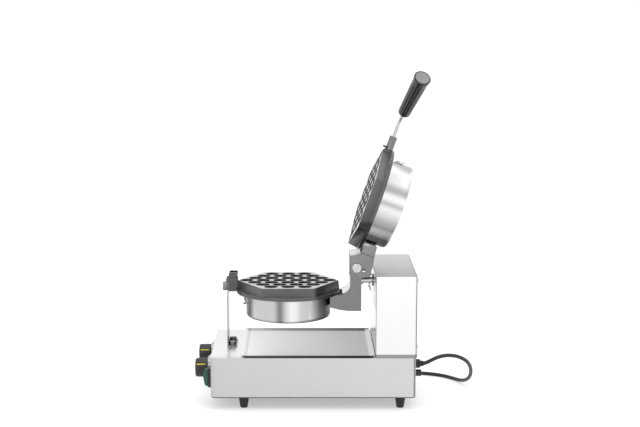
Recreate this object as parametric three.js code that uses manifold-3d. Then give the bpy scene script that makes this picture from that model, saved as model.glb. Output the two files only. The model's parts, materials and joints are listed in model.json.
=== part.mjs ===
// Turn-over bubble waffle maker: a steel base and rear tower carry a pair of hexagonal cast plates on a
// long shaft. The lid opens on a hinge pin behind the plates, and the closed pair turns over on the shaft.
//
// Millimetres. X is across the machine (+X is the user's right), Y runs from front to back, +Z is up.
// Pieces are drawn with y = 0 at the base's front face and z = 0 on the table, and the whole machine is
// moved onto the part's origin at the end.
import * as THREE from 'three';
import { mergeVertices } from 'three/addons/utils/BufferGeometryUtils.js';
import Module from 'manifold-3d';

const wasm = await Module();
wasm.setup();

// ---------------------------------------------------------------- driving dimensions
const GAP = 0.3;                 // clearance left between touching pieces

const BASE_WIDTH = 250;
const BASE_LENGTH = 400;
const BASE_BOTTOM = 25;
const BASE_TOP = 103;
const SHEET = 1.5;               // folded stainless sheet

const TOWER_FRONT = 321.5;
const TOWER_TOP = 264.2;
const COVER_THICKNESS = 1.5;

const AXIS_Z = 234;              // turning axis, and the joint plane of the closed plates
const PLATE_Y = 150.5;           // centre of the round plates
const FACE_GAP = 0.4;            // half the gap between the closed plates
const HEX_APOTHEM = 88;
const WALL_DEPTH = 17.5;         // hexagonal wall, measured from the joint plane
const WALL_DRAFT = 2;
const FLANGE_DEPTH = 24;
const FLANGE_RADIUS = 104;
const CAVITY_PITCH = 33.3;       // along Y
const ROW_PITCH = 22.8;          // along X
const CAVITY_RADIUS = 13.7;
const CAVITY_DEPTH = 12.5;
const MIDDLE_ROW = 6;            // cavities in the longest of the seven rows
const SIDE_ROWS = 3;

const HOUSING_RADIUS = 85;
const HOUSING_DEPTH = 72.5;
const HOUSING_ROUND = 7;
const HOUSING_WALL = 1.5;
const ELEMENT_RADIUS = 58;
const ELEMENT_TUBE = 4.2;

const HINGE_Y = 287;
const HINGE_RISE = 31;           // hinge pin above the turning axis
const LID_OPEN = 109.8;          // degrees the lid stands open from closed
const PIN_RADIUS = 5;
const BRACKET_HALF = 33;         // half width over the lower bracket's cheeks
const CHEEK = 3;

const SHAFT_RADIUS = 6;
const SHAFT_FRONT = 297;
const SHAFT_REAR = 380;

const BOSS_DEPTH = 12.5;         // front boss and journal axes, from the joint plane
const BOSS_RADIUS = 7.7;
const BOSS_FRONT = 19;
const LUG_FRONT = 46.5;
const ROD_RADIUS = 3.4;
const HANDLE_BEND_Y = -11;
const HANDLE_ANGLE = 45;         // degrees the grip points to the user's right
const HANDLE_RISE = 1.4;
const GRIP_START = 30.6;         // along the bent rod, from the bend
const GRIP_LENGTH = 113;

const SUPPORT_Y = 28.5;
const SUPPORT_HALF = 30;
const BOLT_X = 19.5;
const BOLT_Y = 38.4;

const KNOB_X = 60;
const KNOB_Z = 68.5;
const KNOB_RADIUS = 19;
const SWITCH_X = 100;
const SWITCH_Z = 60;
const LAMP_Z = 82;

const GLAND_X = 60;
const GLAND_Z = 76.4;
const FUSE_Z = 57.5;
const CORD_RADIUS = 3.8;
const COIL_X = -192;
const COIL_Y = 330;
const COIL_INNER = 34;
const COIL_OUTER = 50;
const COIL_HEIGHT = 15.4;

// ---------------------------------------------------------------- finishes
function finish(color, roughness, metalness) {
  return new THREE.MeshStandardMaterial({ color, roughness, metalness });
}

const steel = finish(0xd9dadb, 0.28, 1.0);
const brushed = finish(0xc4c4c2, 0.4, 1.0);
const castPlate = finish(0x3b3b3c, 0.5, 0.4);
const greySteel = finish(0x8b8c8d, 0.45, 0.8);
const zinc = finish(0xb8babc, 0.35, 1.0);
const blackPlastic = finish(0x161617, 0.45, 0.0);
const blackRubber = finish(0x131313, 0.8, 0.0);
const greyPlastic = finish(0x9a9a9a, 0.5, 0.0);
const greenRubber = finish(0x1f7a4d, 0.35, 0.0);
const amber = finish(0xe0902a, 0.25, 0.0);
const ceramic = finish(0xe6e0d2, 0.7, 0.0);
const bronze = finish(0xa8793a, 0.4, 1.0);
const incoloy = finish(0x5c5148, 0.5, 0.9);

// ---------------------------------------------------------------- shapes
const rad = THREE.MathUtils.degToRad;
const AXES = {
  X: new THREE.Vector3(1, 0, 0),
  Y: new THREE.Vector3(0, 1, 0),
  Z: new THREE.Vector3(0, 0, 1),
};

function block(x0, x1, y0, y1, z0, z1) {
  const geometry = new THREE.BoxGeometry(x1 - x0, y1 - y0, z1 - z0);
  return geometry.translate((x0 + x1) / 2, (y0 + y1) / 2, (z0 + z1) / 2);
}

// A round bar from one point to another.
function bar(radius, from, to, sides = 24) {
  const start = new THREE.Vector3(...from);
  const run = new THREE.Vector3(...to).sub(start);
  const geometry = new THREE.CylinderGeometry(radius, radius, run.length(), sides);
  geometry.translate(0, run.length() / 2, 0);
  const turn = new THREE.Quaternion().setFromUnitVectors(AXES.Y, run.clone().normalize());
  return geometry.applyQuaternion(turn).translate(...from);
}

// A turned piece on the Y axis, from [radius, y] pairs.
function turned(profile, sides = 32) {
  return new THREE.LatheGeometry(profile.map(([r, y]) => new THREE.Vector2(r, y)), sides);
}

// The same on the Z axis: [radius, z] pairs.
function turnedZ(profile, sides = 32) {
  return turned(profile, sides).rotateX(Math.PI / 2);
}

function extruded(points, depth, right, up) {
  const shape = new THREE.Shape(points.map(([a, b]) => new THREE.Vector2(a, b)));
  const geometry = new THREE.ExtrudeGeometry(shape, { depth, bevelEnabled: false });
  const out = right.clone().cross(up);
  return geometry.applyMatrix4(new THREE.Matrix4().makeBasis(right, up, out));
}

// A side outline of [y, z] points, as a plate from x0 to x1.
const sidePlate = (points, x0, x1) => extruded(points, x1 - x0, AXES.Y, AXES.Z).translate(x0, 0, 0);

// A front outline of [x, z] points, as a plate from y0 to y1.
const frontPlate = (points, y0, y1) => extruded(points, y1 - y0, AXES.X, AXES.Z).translate(0, y1, 0);

// A plan outline of [x, y] points, as a plate from z0 to z1.
const flatPlate = (points, z0, z1) => extruded(points, z1 - z0, AXES.X, AXES.Y).translate(0, 0, z0);

// Points on an arc about [a, b], angles in degrees.
function arc(a, b, radius, from, to, steps) {
  return Array.from({ length: steps + 1 }, (_, i) => {
    const angle = rad(from + ((to - from) * i) / steps);
    return [a + radius * Math.cos(angle), b + radius * Math.sin(angle)];
  });
}

// A rectangle in plan with round corners.
function roundedRectangle(a0, a1, b0, b1, radius, steps = 3) {
  return [
    ...arc(a1 - radius, b0 + radius, radius, -90, 0, steps),
    ...arc(a1 - radius, b1 - radius, radius, 0, 90, steps),
    ...arc(a0 + radius, b1 - radius, radius, 90, 180, steps),
    ...arc(a0 + radius, b0 + radius, radius, 180, 270, steps),
  ];
}

function tubeAlong(curve, radius, steps, sides) {
  const ring = arc(0, 0, radius, 0, 360 - 360 / sides, sides - 1);
  const section = new THREE.Shape(ring.map(([a, b]) => new THREE.Vector2(a, b)));
  return new THREE.ExtrudeGeometry(section, { steps, extrudePath: curve, bevelEnabled: false });
}

// ---------------------------------------------------------------- joining and cutting
function solid(geometry) {
  const bare = geometry.clone();
  bare.deleteAttribute('normal');
  bare.deleteAttribute('uv');
  const merged = mergeVertices(bare, 1e-4);
  return new wasm.Manifold(new wasm.Mesh({
    numProp: 3,
    vertProperties: new Float32Array(merged.attributes.position.array),
    triVerts: new Uint32Array(merged.index.array),
  }));
}

function surface(manifold) {
  const mesh = manifold.getMesh();
  const geometry = new THREE.BufferGeometry();
  geometry.setAttribute('position', new THREE.BufferAttribute(new Float32Array(mesh.vertProperties), 3));
  geometry.setIndex(new THREE.BufferAttribute(new Uint32Array(mesh.triVerts), 1));
  geometry.computeVertexNormals();
  return geometry;
}

function join(...pieces) {
  return surface(pieces.map(solid).reduce((whole, piece) => whole.add(piece)));
}

function cut(body, ...tools) {
  return surface(tools.map(solid).reduce((left, tool) => left.subtract(tool), solid(body)));
}

function mesh(name, geometry, material, parent) {
  const node = new THREE.Mesh(geometry, material);
  node.name = name;
  parent.add(node);
  return node;
}

// ---------------------------------------------------------------- base
// Folded box, open underneath, with the holes that its fittings need.
function baseHousing() {
  const half = BASE_WIDTH / 2;
  const wall = half - SHEET;
  const outside = flatPlate(roundedRectangle(-half, half, 0, BASE_LENGTH, 2.5), BASE_BOTTOM, BASE_TOP);
  const inside = block(-wall, wall, SHEET, BASE_LENGTH - SHEET, BASE_BOTTOM - 1, BASE_TOP - SHEET);
  const through = 6;
  return cut(
    outside,
    inside,
    bar(5, [-KNOB_X, -1, KNOB_Z], [-KNOB_X, through, KNOB_Z]),
    bar(5, [KNOB_X, -1, KNOB_Z], [KNOB_X, through, KNOB_Z]),
    bar(5, [0, -1, LAMP_Z], [0, through, LAMP_Z], 16),
    block(SWITCH_X - 10.5, SWITCH_X + 10.5, -1, through, SWITCH_Z - 17, SWITCH_Z + 17),
    bar(7.4, [GLAND_X, BASE_LENGTH - through, GLAND_Z], [GLAND_X, BASE_LENGTH + 1, GLAND_Z]),
    bar(6, [GLAND_X, BASE_LENGTH - through, FUSE_Z], [GLAND_X, BASE_LENGTH + 1, FUSE_Z]),
    bar(4.3, [-BOLT_X, BOLT_Y, BASE_TOP - through], [-BOLT_X, BOLT_Y, BASE_TOP + 1], 16),
    bar(4.3, [BOLT_X, BOLT_Y, BASE_TOP - through], [BOLT_X, BOLT_Y, BASE_TOP + 1], 16),
    bar(14, [0, 360, BASE_TOP - through], [0, 360, BASE_TOP + 1]),
  );
}

function bottomPlate() {
  const half = BASE_WIDTH / 2 - 2;
  const outline = roundedRectangle(-half, half, 2, BASE_LENGTH - 2, 2.5);
  return flatPlate(outline, BASE_BOTTOM - 2.3, BASE_BOTTOM - GAP);
}

// Tapered foot, hollow underneath for its screw.
function foot(x, y) {
  const top = BASE_BOTTOM - 2.3 - GAP;
  const profile = [[0, 7], [3.2, 7], [3.6, 0], [6.4, 0], [7.2, 1.2], [10.8, top], [0, top]];
  return turnedZ(profile, 20).translate(x, y, 0);
}

// Sheet tray lying on the base: a flat floor, sloping front and rear lips and upright side lips.
function dripTray() {
  const front = 60;
  const rear = 319.5;
  const half = 121.5;
  const slope = 9;
  const rise = 3;
  const sheet = 1;
  const under = BASE_TOP + GAP;
  const floor = under + sheet;
  const top = floor + rise;
  const pan = sidePlate([
    [front, under + rise], [front + slope, under], [rear - slope, under], [rear, under + rise],
    [rear, top], [front, top],
  ], -half, half);
  const hollow = sidePlate([
    [front + slope, floor], [rear - slope, floor], [rear + 3, top + 0.9], [rear + 3, top + 5],
    [front - 3, top + 5], [front - 3, top + 0.9],
  ], -half + sheet, half - sheet);
  return cut(pan, hollow);
}

// ---------------------------------------------------------------- tower
function towerShell() {
  const half = BASE_WIDTH / 2;
  const wall = half - SHEET;
  const bottom = BASE_TOP + GAP;
  const outline = roundedRectangle(-half, half, TOWER_FRONT, BASE_LENGTH, 1.5);
  const outside = flatPlate(outline, bottom, TOWER_TOP);
  const inside = block(-wall, wall, TOWER_FRONT + SHEET, BASE_LENGTH + 1, bottom - 1, TOWER_TOP - SHEET);
  return cut(outside, inside, bar(9.4, [0, TOWER_FRONT - 1, AXIS_Z], [0, TOWER_FRONT + 5, AXIS_Z]));
}

function towerCover() {
  const half = BASE_WIDTH / 2;
  const plate = frontPlate(
    roundedRectangle(-half, half, BASE_TOP + GAP, TOWER_TOP, 2),
    BASE_LENGTH + GAP,
    BASE_LENGTH + GAP + COVER_THICKNESS,
  );
  const hole = ([x, z]) => bar(2.3, [x, BASE_LENGTH - 1, z], [x, BASE_LENGTH + 4, z], 12);
  return cut(plate, ...COVER_SCREWS.map(hole));
}

const COVER_SCREWS = [[-112, 123.7], [112, 123.7], [-112, 254], [112, 254]];

// Pan-head screw through the cover, with its clinch nut inside.
function coverScrew(x, z) {
  const face = BASE_LENGTH + GAP + COVER_THICKNESS + GAP;
  const profile = [
    [0, face - 8], [2, face - 8], [2, face], [4.5, face], [4, face + 2], [2.4, face + 2.9],
    [0, face + 2.9],
  ];
  return turned(profile, 16).translate(x, 0, z);
}

// Flanged bush in the tower's front wall.
function frontBushing() {
  const bore = SHAFT_RADIUS + GAP;
  const front = TOWER_FRONT - GAP;
  const profile = [
    [bore, front - 2], [12, front - 2], [12, front], [9, front], [9, front + 10], [bore, front + 10],
    [bore, front - 2],
  ];
  return turned(profile).translate(0, 0, AXIS_Z);
}

const REAR_BUSH_Y = 362;

function rearBushing() {
  const bore = SHAFT_RADIUS + GAP;
  const profile = [
    [bore, REAR_BUSH_Y - 3], [12, REAR_BUSH_Y - 3], [12, REAR_BUSH_Y - GAP], [9, REAR_BUSH_Y - GAP],
    [9, REAR_BUSH_Y + 8], [bore, REAR_BUSH_Y + 8], [bore, REAR_BUSH_Y - 3],
  ];
  return turned(profile).translate(0, 0, AXIS_Z);
}

// Steel angle inside the tower, standing on the base, that carries the rear bush.
function bearingBracket() {
  const seat = BASE_TOP + GAP;
  return cut(
    join(
      block(-40, 40, REAR_BUSH_Y, REAR_BUSH_Y + 4, seat, TOWER_TOP - SHEET - 3),
      block(-40, 40, REAR_BUSH_Y, REAR_BUSH_Y + 30, seat, seat + 4),
    ),
    bar(9.4, [0, REAR_BUSH_Y - 2, AXIS_Z], [0, REAR_BUSH_Y + 6, AXIS_Z]),
    bar(12, [0, REAR_BUSH_Y - 2, seat - 10], [0, REAR_BUSH_Y - 2, seat + 10], 16),
  );
}

// ---------------------------------------------------------------- front support
const SUPPORT_TOP = AXIS_Z - BOSS_DEPTH - BOSS_RADIUS - 0.4;

// Thin bracket whose top edge carries the front journal.
function supportBracket() {
  const seat = BASE_TOP + GAP;
  const sheet = 2;
  const corner = 6;
  const upright = frontPlate([
    [-SUPPORT_HALF, seat], [SUPPORT_HALF, seat], [SUPPORT_HALF, SUPPORT_TOP - corner],
    [SUPPORT_HALF - corner, SUPPORT_TOP], [-SUPPORT_HALF + corner, SUPPORT_TOP],
    [-SUPPORT_HALF, SUPPORT_TOP - corner],
  ], SUPPORT_Y, SUPPORT_Y + sheet);
  const flange = block(-SUPPORT_HALF, SUPPORT_HALF, SUPPORT_Y + sheet / 2, 48.3, seat, seat + sheet);
  const holes = [-BOLT_X, BOLT_X].map((x) => bar(4.3, [x, BOLT_Y, seat - 2], [x, BOLT_Y, seat + 4], 16));
  return cut(join(upright, flange), ...holes);
}

// Hex bolt with a plain washer, through the bracket's foot and the base.
function supportBolt(x) {
  const seat = BASE_TOP + GAP + 2 + GAP;
  return join(
    bar(7.5, [x, BOLT_Y, seat], [x, BOLT_Y, seat + 1.4], 20),
    bar(7, [x, BOLT_Y, seat + 1], [x, BOLT_Y, seat + 6.6], 6),
    bar(3.9, [x, BOLT_Y, seat - 14], [x, BOLT_Y, seat + 1], 16),
  );
}

// ---------------------------------------------------------------- controls
// Conical dial bezel behind a knob.
function bezel(x) {
  const profile = [[6, -8.8], [21, -8.8], [27.8, -1.5], [27.8, -GAP], [6, -GAP], [6, -8.8]];
  return turned(profile, 40).translate(x, 0, KNOB_Z);
}

// Knob with a soft front edge and a blind bore for the control's shaft.
function knob(x) {
  const back = -9.4;
  const front = -34;
  const profile = [
    [0, front], [KNOB_RADIUS - 5, front], [KNOB_RADIUS - 2, front + 1.2], [KNOB_RADIUS - 0.3, front + 4],
    [KNOB_RADIUS, back], [3.4, back], [3.4, -22], [0, -22],
  ];
  return turned(profile, 36).translate(x, 0, KNOB_Z);
}

// Control body behind the front panel, with its shaft through the panel.
function controlBody(x, halfWidth, depth) {
  const behind = SHEET + GAP;
  return join(
    block(x - halfWidth, x + halfWidth, behind, behind + depth, KNOB_Z - halfWidth, KNOB_Z + halfWidth),
    bar(3, [x, -21.6, KNOB_Z], [x, behind + 1, KNOB_Z], 16),
  );
}

// Switch frame: a rim on the panel and an open case behind it.
function switchFrame() {
  const x = SWITCH_X;
  const z = SWITCH_Z;
  const rim = block(x - 11.8, x + 11.8, -6, -GAP, z - 19, z + 19);
  const body = block(x - 10, x + 10, -3, 26, z - 16.5, z + 16.5);
  const well = block(x - 8.4, x + 8.4, -7, 14, z - 14.5, z + 14.5);
  return cut(join(rim, body), well);
}

// Rocker resting with its top edge out.
function switchRocker() {
  const outline = [[9, -7], [4, -12.6], [-3.4, -13], [-4.6, 0], [-8.2, 10.9], [-5, 12.9], [4, 12.6], [9, 7]];
  const points = outline.map(([y, z]) => [y, z + SWITCH_Z]);
  return sidePlate(points, SWITCH_X - 7.9, SWITCH_X + 7.9);
}

// Soft waterproof boot over the rocker, open at the back.
function switchBoot() {
  const x = SWITCH_X;
  const z = SWITCH_Z;
  const back = -6 - GAP;
  const shape = (wall, front) => sidePlate([
    [back + (wall ? 1 : 0), z - 17 + wall], [back + (wall ? 1 : 0), z + 17 - wall],
    [back - 6 + front, z + 16.4 - wall], [back - 9.4 + front, z + 11 - wall], [back - 9.2 + front, z],
    [back - 6.6 + front, z - 13 + wall], [back - 3.4 + front, z - 16.6 + wall],
  ], x - 10.6 + wall, x + 10.6 - wall);
  return cut(shape(0, 0), shape(1.2, 1.2));
}

function lamp() {
  const profile = [
    [0, -3.2], [3.4, -2.6], [4.4, -1.4], [6.2, -1.4], [6.2, -GAP], [4.6, -GAP], [4.6, 14], [0, 14],
  ];
  return turned(profile, 20).translate(0, 0, LAMP_Z);
}

// ---------------------------------------------------------------- electrics
function terminalBlock() {
  const z = BASE_BOTTOM + GAP;
  const ways = Array.from({ length: 5 }, (_, i) => {
    const x = -24 + i * 12;
    return bar(3, [x, 350, z + 10], [x, 350, z + 20], 10);
  });
  return cut(block(-32, 32, 338, 362, z, z + 18), ...ways);
}

// Cord grip clipped in the rear wall, tapering onto the cord.
function strainRelief() {
  const bore = CORD_RADIUS + GAP;
  const wall = BASE_LENGTH;
  const profile = [
    [bore, wall - 10], [6.4, wall - 10], [7.1, wall - 3], [7.1, wall + GAP], [9.2, wall + GAP],
    [9.2, wall + 4], [8.4, wall + 12], [7, wall + 13.2], [5.6, wall + 14.5], [5, wall + 20],
    [bore, wall + 20], [bore, wall - 10],
  ];
  return turned(profile, 24).translate(GLAND_X, 0, GLAND_Z);
}

function fuseHolder() {
  const wall = BASE_LENGTH;
  const profile = [
    [0, wall - 26], [5.4, wall - 26], [5.4, wall + GAP], [8, wall + GAP], [8, wall + 3], [3.2, wall + 3],
    [3.2, wall - 20], [0, wall - 20],
  ];
  return turned(profile, 20).translate(GLAND_X, 0, FUSE_Z);
}

function fuseCap() {
  const seat = BASE_LENGTH + 3 + GAP;
  const profile = [
    [0, seat - 12], [2.8, seat - 12], [2.8, seat], [6.8, seat], [6.8, seat + 11], [6, seat + 12.6],
    [0, seat + 12.6],
  ];
  return turned(profile, 20).translate(GLAND_X, 0, FUSE_Z);
}

// The cord leaves the rear, humps, comes down to the table and goes round behind the base to its coil.
const ON_TABLE = CORD_RADIUS + 0.1;
const CORD_ROUTE = [
  [60, 411, 76.4], [60, 419.5, 76.4], [59.8, 427, 78.6], [58.8, 437, 83.4], [56.6, 449, 88.2],
  [53.6, 462, 90.6], [50, 474, 90.2], [45.5, 486, 87.6], [39, 498, 82], [28, 509, 73], [14, 517, 61],
  [-3, 521.5, 47],
  [-21, 523, 33], [-40, 521, 20.5], [-60, 515.5, 10.8], [-82, 506.5, 5.2], [-103, 494, ON_TABLE],
  [-119.5, 479, ON_TABLE], [-132, 461, ON_TABLE], [-140, 442, ON_TABLE], [-145, 422, ON_TABLE],
  [-147.5, 400, ON_TABLE], [-148, 378, ON_TABLE], [-147.6, 359.6, ON_TABLE],
];

function cordRun() {
  const curve = new THREE.CatmullRomCurve3(CORD_ROUTE.map((point) => new THREE.Vector3(...point)));
  return tubeAlong(curve, CORD_RADIUS, 60, 8);
}

function cordCoil() {
  const base = 0.2;
  const profile = [
    [COIL_INNER, base + 2], [COIL_INNER + 2, base], [COIL_OUTER - 2, base], [COIL_OUTER, base + 2],
    [COIL_OUTER, COIL_HEIGHT - 2], [COIL_OUTER - 2, COIL_HEIGHT], [COIL_INNER + 2, COIL_HEIGHT],
    [COIL_INNER, COIL_HEIGHT - 2], [COIL_INNER, base + 2],
  ];
  return turnedZ(profile, 40).translate(COIL_X, COIL_Y, 0);
}

// Moulded two-pin plug lying beside the coil, with its sleeve towards the coil.
function plug() {
  const y = 258;
  const body = turned([
    [0, y - 22], [17, y - 22], [18.4, y - 18], [18.4, y - 2], [15, y + 8], [8, y + 14], [5, y + 16],
    [4.4, y + 21.6], [0, y + 21.6],
  ], 24);
  const lying = 18.6;
  return join(
    body.translate(COIL_X, 0, lying),
    bar(2.4, [COIL_X - 9.5, y - 41, lying], [COIL_X - 9.5, y - 20, lying], 12),
    bar(2.4, [COIL_X + 9.5, y - 41, lying], [COIL_X + 9.5, y - 20, lying], 12),
  );
}

// ---------------------------------------------------------------- plates and heaters
// Everything from here to the lid's bracket is drawn for the upper half: "depth" is the distance from the
// joint plane. The lower half is the same pieces turned over about the turning axis.
function cavityCentres() {
  const centres = [];
  for (let row = -SIDE_ROWS; row <= SIDE_ROWS; row += 1) {
    const count = MIDDLE_ROW - Math.abs(row);
    for (let i = 0; i < count; i += 1) {
      centres.push([row * ROW_PITCH, (i - (count - 1) / 2) * CAVITY_PITCH]);
    }
  }
  return centres;
}

// Cast plate: hexagonal wall on a round flange, a lug for the front boss, and thirty round cavities.
function castPlateGeometry() {
  const corner = Math.cos(Math.PI / 6);
  const face = HEX_APOTHEM / corner;
  const root = (HEX_APOTHEM + WALL_DRAFT) / corner;
  const wall = WALL_DEPTH - FACE_GAP + 0.5;
  const hexagon = new THREE.CylinderGeometry(root, face, wall, 6).rotateX(Math.PI / 2);
  hexagon.translate(0, 0, FACE_GAP + wall / 2);
  const flange = new THREE.CylinderGeometry(FLANGE_RADIUS, FLANGE_RADIUS, FLANGE_DEPTH - WALL_DEPTH, 48);
  flange.rotateX(Math.PI / 2).translate(0, 0, (FLANGE_DEPTH + WALL_DEPTH) / 2);
  const lug = block(-8, 8, LUG_FRONT - PLATE_Y, LUG_FRONT - PLATE_Y + 16, 3, FLANGE_DEPTH - 1);
  const bowlRadius = (CAVITY_RADIUS ** 2 + CAVITY_DEPTH ** 2) / (2 * CAVITY_DEPTH);
  const bowls = cavityCentres().map(([x, y]) => {
    const bowl = new THREE.SphereGeometry(bowlRadius, 12, 8).rotateX(Math.PI / 2);
    return bowl.translate(x, y, FACE_GAP + CAVITY_DEPTH - bowlRadius);
  });
  return cut(join(hexagon, flange, lug), ...bowls);
}

// Round spun cup that covers the heater.
function heaterHousing() {
  const rim = FLANGE_DEPTH + GAP;
  const centre = [HOUSING_RADIUS - HOUSING_ROUND, HOUSING_DEPTH - HOUSING_ROUND];
  return turnedZ([
    [0, HOUSING_DEPTH - HOUSING_WALL],
    ...arc(...centre, HOUSING_ROUND - HOUSING_WALL, 90, 0, 3),
    [HOUSING_RADIUS - HOUSING_WALL, rim],
    [HOUSING_RADIUS, rim],
    ...arc(...centre, HOUSING_ROUND, 0, 90, 4),
    [0, HOUSING_DEPTH],
  ], 48);
}

// Ring element clamped to the back of the plate.
function heatingElement() {
  const centre = FLANGE_DEPTH + GAP + ELEMENT_TUBE;
  const ring = new THREE.TorusGeometry(ELEMENT_RADIUS, ELEMENT_TUBE, 8, 36);
  const leg = (x) => bar(3, [x, ELEMENT_RADIUS - 1, centre], [x, ELEMENT_RADIUS - 1, centre + 16], 10);
  return join(ring.translate(0, 0, centre), leg(0));
}

// Small bent clip with a screw head on the housing's front.
function housingClip() {
  const face = -HOUSING_RADIUS - GAP;
  return join(
    block(-6, 6, face - 1.6, face, FLANGE_DEPTH + 8, FLANGE_DEPTH + 25),
    block(-6, 6, face - 5.4, face, FLANGE_DEPTH + 23, FLANGE_DEPTH + 25),
    bar(3.6, [0, face - 3.6, FLANGE_DEPTH + 15], [0, face - 1, FLANGE_DEPTH + 15], 12),
  );
}

// ---------------------------------------------------------------- lower half
// Round clearance for the heater housing, for cutting the brackets to it.
function housingRelief(low, high) {
  const radius = HOUSING_RADIUS + GAP;
  return turnedZ([[0, low], [radius, low], [radius, high], [0, high]], 48).translate(0, PLATE_Y, 0);
}

// Welded bracket from the housing back and up to the hinge pin: two cheeks, a curved front web, and a
// cross plate behind that takes the shaft.
function lowerBracket() {
  const hingeZ = HINGE_RISE;
  const housing = 234;
  const front = 274.3;
  const back = 296.6;
  const curve = arc(front - 17, -5, 17, 0, -72, 6);
  const head = arc(HINGE_Y, hingeZ, 12, -20, 200, 8);
  const outline = [
    [housing, -50], [252, -54.5], [268, -57], [back, -57.5], [back, hingeZ - 8], ...head,
    [front, hingeZ - 8], ...curve, [258, -24.8], [housing, -24.8],
  ];
  const cheek = (x) => sidePlate(outline, x, x + CHEEK);
  const webOutline = [
    [front, 6], ...curve, [259, -22.6], [260, -24.8],
    ...arc(front - 17, -5, 20, -66, 0, 6), [front + 3, 6],
  ];
  const web = sidePlate(webOutline, -BRACKET_HALF + 1, BRACKET_HALF - 1);
  const crossPlate = block(-BRACKET_HALF + 1, BRACKET_HALF - 1, back - 4, back, -57, 13);
  const cup = PLATE_Y + HOUSING_RADIUS + 0.6;
  const seat = [[cup, -49], [243, -51], [243, -26], [cup, -26]];
  const saddle = sidePlate(seat, -BRACKET_HALF + 1, BRACKET_HALF - 1);
  const pinHole = bar(PIN_RADIUS + GAP, [-50, HINGE_Y, hingeZ], [50, HINGE_Y, hingeZ], 20);
  return cut(
    join(cheek(-BRACKET_HALF), cheek(BRACKET_HALF - CHEEK), web, crossPlate, saddle),
    pinHole,
    housingRelief(-80, -20),
  );
}

// Turn shaft: a collar welded to the bracket's cross plate, then a plain bar into the tower.
function turnShaft() {
  const profile = [
    [0, SHAFT_FRONT], [8.5, SHAFT_FRONT], [8.5, SHAFT_FRONT + 4], [SHAFT_RADIUS, SHAFT_FRONT + 4],
    [SHAFT_RADIUS, SHAFT_REAR], [0, SHAFT_REAR],
  ];
  return cut(turned(profile, 24), bar(2, [0, SPLIT_PIN_Y, -10], [0, SPLIT_PIN_Y, 10], 12));
}

const SPLIT_PIN_Y = 314;

// Split pin through the shaft, in front of the tower: an eye above and two legs below.
function splitPin() {
  const eye = new THREE.TorusGeometry(3.4, 1.3, 8, 16).rotateY(Math.PI / 2);
  return join(
    eye.translate(0, SPLIT_PIN_Y, 12.4),
    bar(1.6, [0, SPLIT_PIN_Y, -9], [0, SPLIT_PIN_Y, 10], 10),
    bar(1.2, [0, SPLIT_PIN_Y, -8], [0, SPLIT_PIN_Y + 2, -22], 8),
    bar(1.2, [0, SPLIT_PIN_Y, -8], [0, SPLIT_PIN_Y - 1.6, -15], 8),
  );
}

function shaftCollar() {
  const profile = [
    [SHAFT_RADIUS + GAP, 371], [11, 371], [11, 377], [SHAFT_RADIUS + GAP, 377], [SHAFT_RADIUS + GAP, 371],
  ];
  return turned(profile, 24);
}

// Round journal on the lower plate's lug, resting on the support bracket.
function frontJournal() {
  const profile = [
    [0, BOSS_FRONT], [8.2, BOSS_FRONT], [9, BOSS_FRONT + 1.5], [9, 27.4], [BOSS_RADIUS, 27.8],
    [BOSS_RADIUS, LUG_FRONT - GAP], [0, LUG_FRONT - GAP],
  ];
  return turned(profile, 24).translate(0, 0, -BOSS_DEPTH);
}

// Fork on the journal: two prongs guide the lid's boss, and the right prong has a pocket that the lock
// pin turns into.
function latchFork() {
  const seat = 31.4;
  const inner = 9;
  const outer = 14;
  const base = block(-outer, outer, seat, LUG_FRONT - GAP, -21, -2.5);
  const prong = [
    [seat, -14], [LUG_FRONT - GAP, -14], [49, -12], [49, 5], [47, 5.5], [47, 10.4], [49, 11],
    ...arc(46, 14, 3, 0, 90, 3), ...arc(seat + 3, 14, 3, 90, 180, 3),
  ];
  const apron = [[26, -2.5], [seat + 2, -2.5], [seat + 2, 5], [26, 5]];
  return cut(
    join(
      base,
      sidePlate(prong, inner, outer),
      sidePlate(prong, -outer, -inner),
      sidePlate(apron, inner, outer),
      sidePlate(apron, -outer, -inner),
    ),
    bar(BOSS_RADIUS + GAP, [0, 20, -BOSS_DEPTH], [0, 60, -BOSS_DEPTH], 24),
    block(inner - 2, outer - 0.9, 39.6, 50, -1, 10.6),
  );
}

// ---------------------------------------------------------------- lid
// Lid bracket: two neck cheeks from the housing, joggled out to two ears on the hinge pin, and a web.
function upperBracket() {
  const inner = BRACKET_HALF + 0.6;
  const outer = inner + CHEEK;
  const neck = [[234, 29], [256, 29.5], [262, 33], [263, 52], [259.4, 57.4], [234, 55]];
  const ear = [
    [269.1, 11], [300.4, 22.5], [301.4, 31], ...arc(293, 43, 10, -25, 25, 3), [295.6, 61], [274.1, 60.4],
    [258.8, 57], [260, 30.3],
  ];
  const web = [[269.1, 11], [271.4, 13], [263.2, 31.4], [260, 30.3]];
  const bend = [[256, 31], [263.4, 31], [262.4, 56], [257.4, 56.6]];
  const sides = [1, -1].flatMap((side) => {
    const span = (a, b) => (side > 0 ? [a, b] : [-b, -a]);
    return [
      sidePlate(neck, ...span(BRACKET_HALF - CHEEK, BRACKET_HALF)),
      sidePlate(bend, ...span(BRACKET_HALF - CHEEK, outer)),
      sidePlate(ear, ...span(inner, outer)),
    ];
  });
  const cup = PLATE_Y + HOUSING_RADIUS + 0.6;
  const seat = [[cup, 29.5], [246, 30], [246, 54], [cup, 54]];
  const saddle = sidePlate(seat, -BRACKET_HALF + 1, BRACKET_HALF - 1);
  const pinHole = bar(PIN_RADIUS + GAP, [-50, HINGE_Y, HINGE_RISE], [50, HINGE_Y, HINGE_RISE], 20);
  const slot = bar(3.6, [-50, 286.9, 46], [50, 286.9, 46], 14);
  return cut(
    join(...sides, sidePlate(web, -outer, outer), saddle),
    pinHole,
    slot,
    housingRelief(-80, 80),
  );
}

const HINGE_FACE = BRACKET_HALF + 0.6 + CHEEK + GAP;

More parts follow.
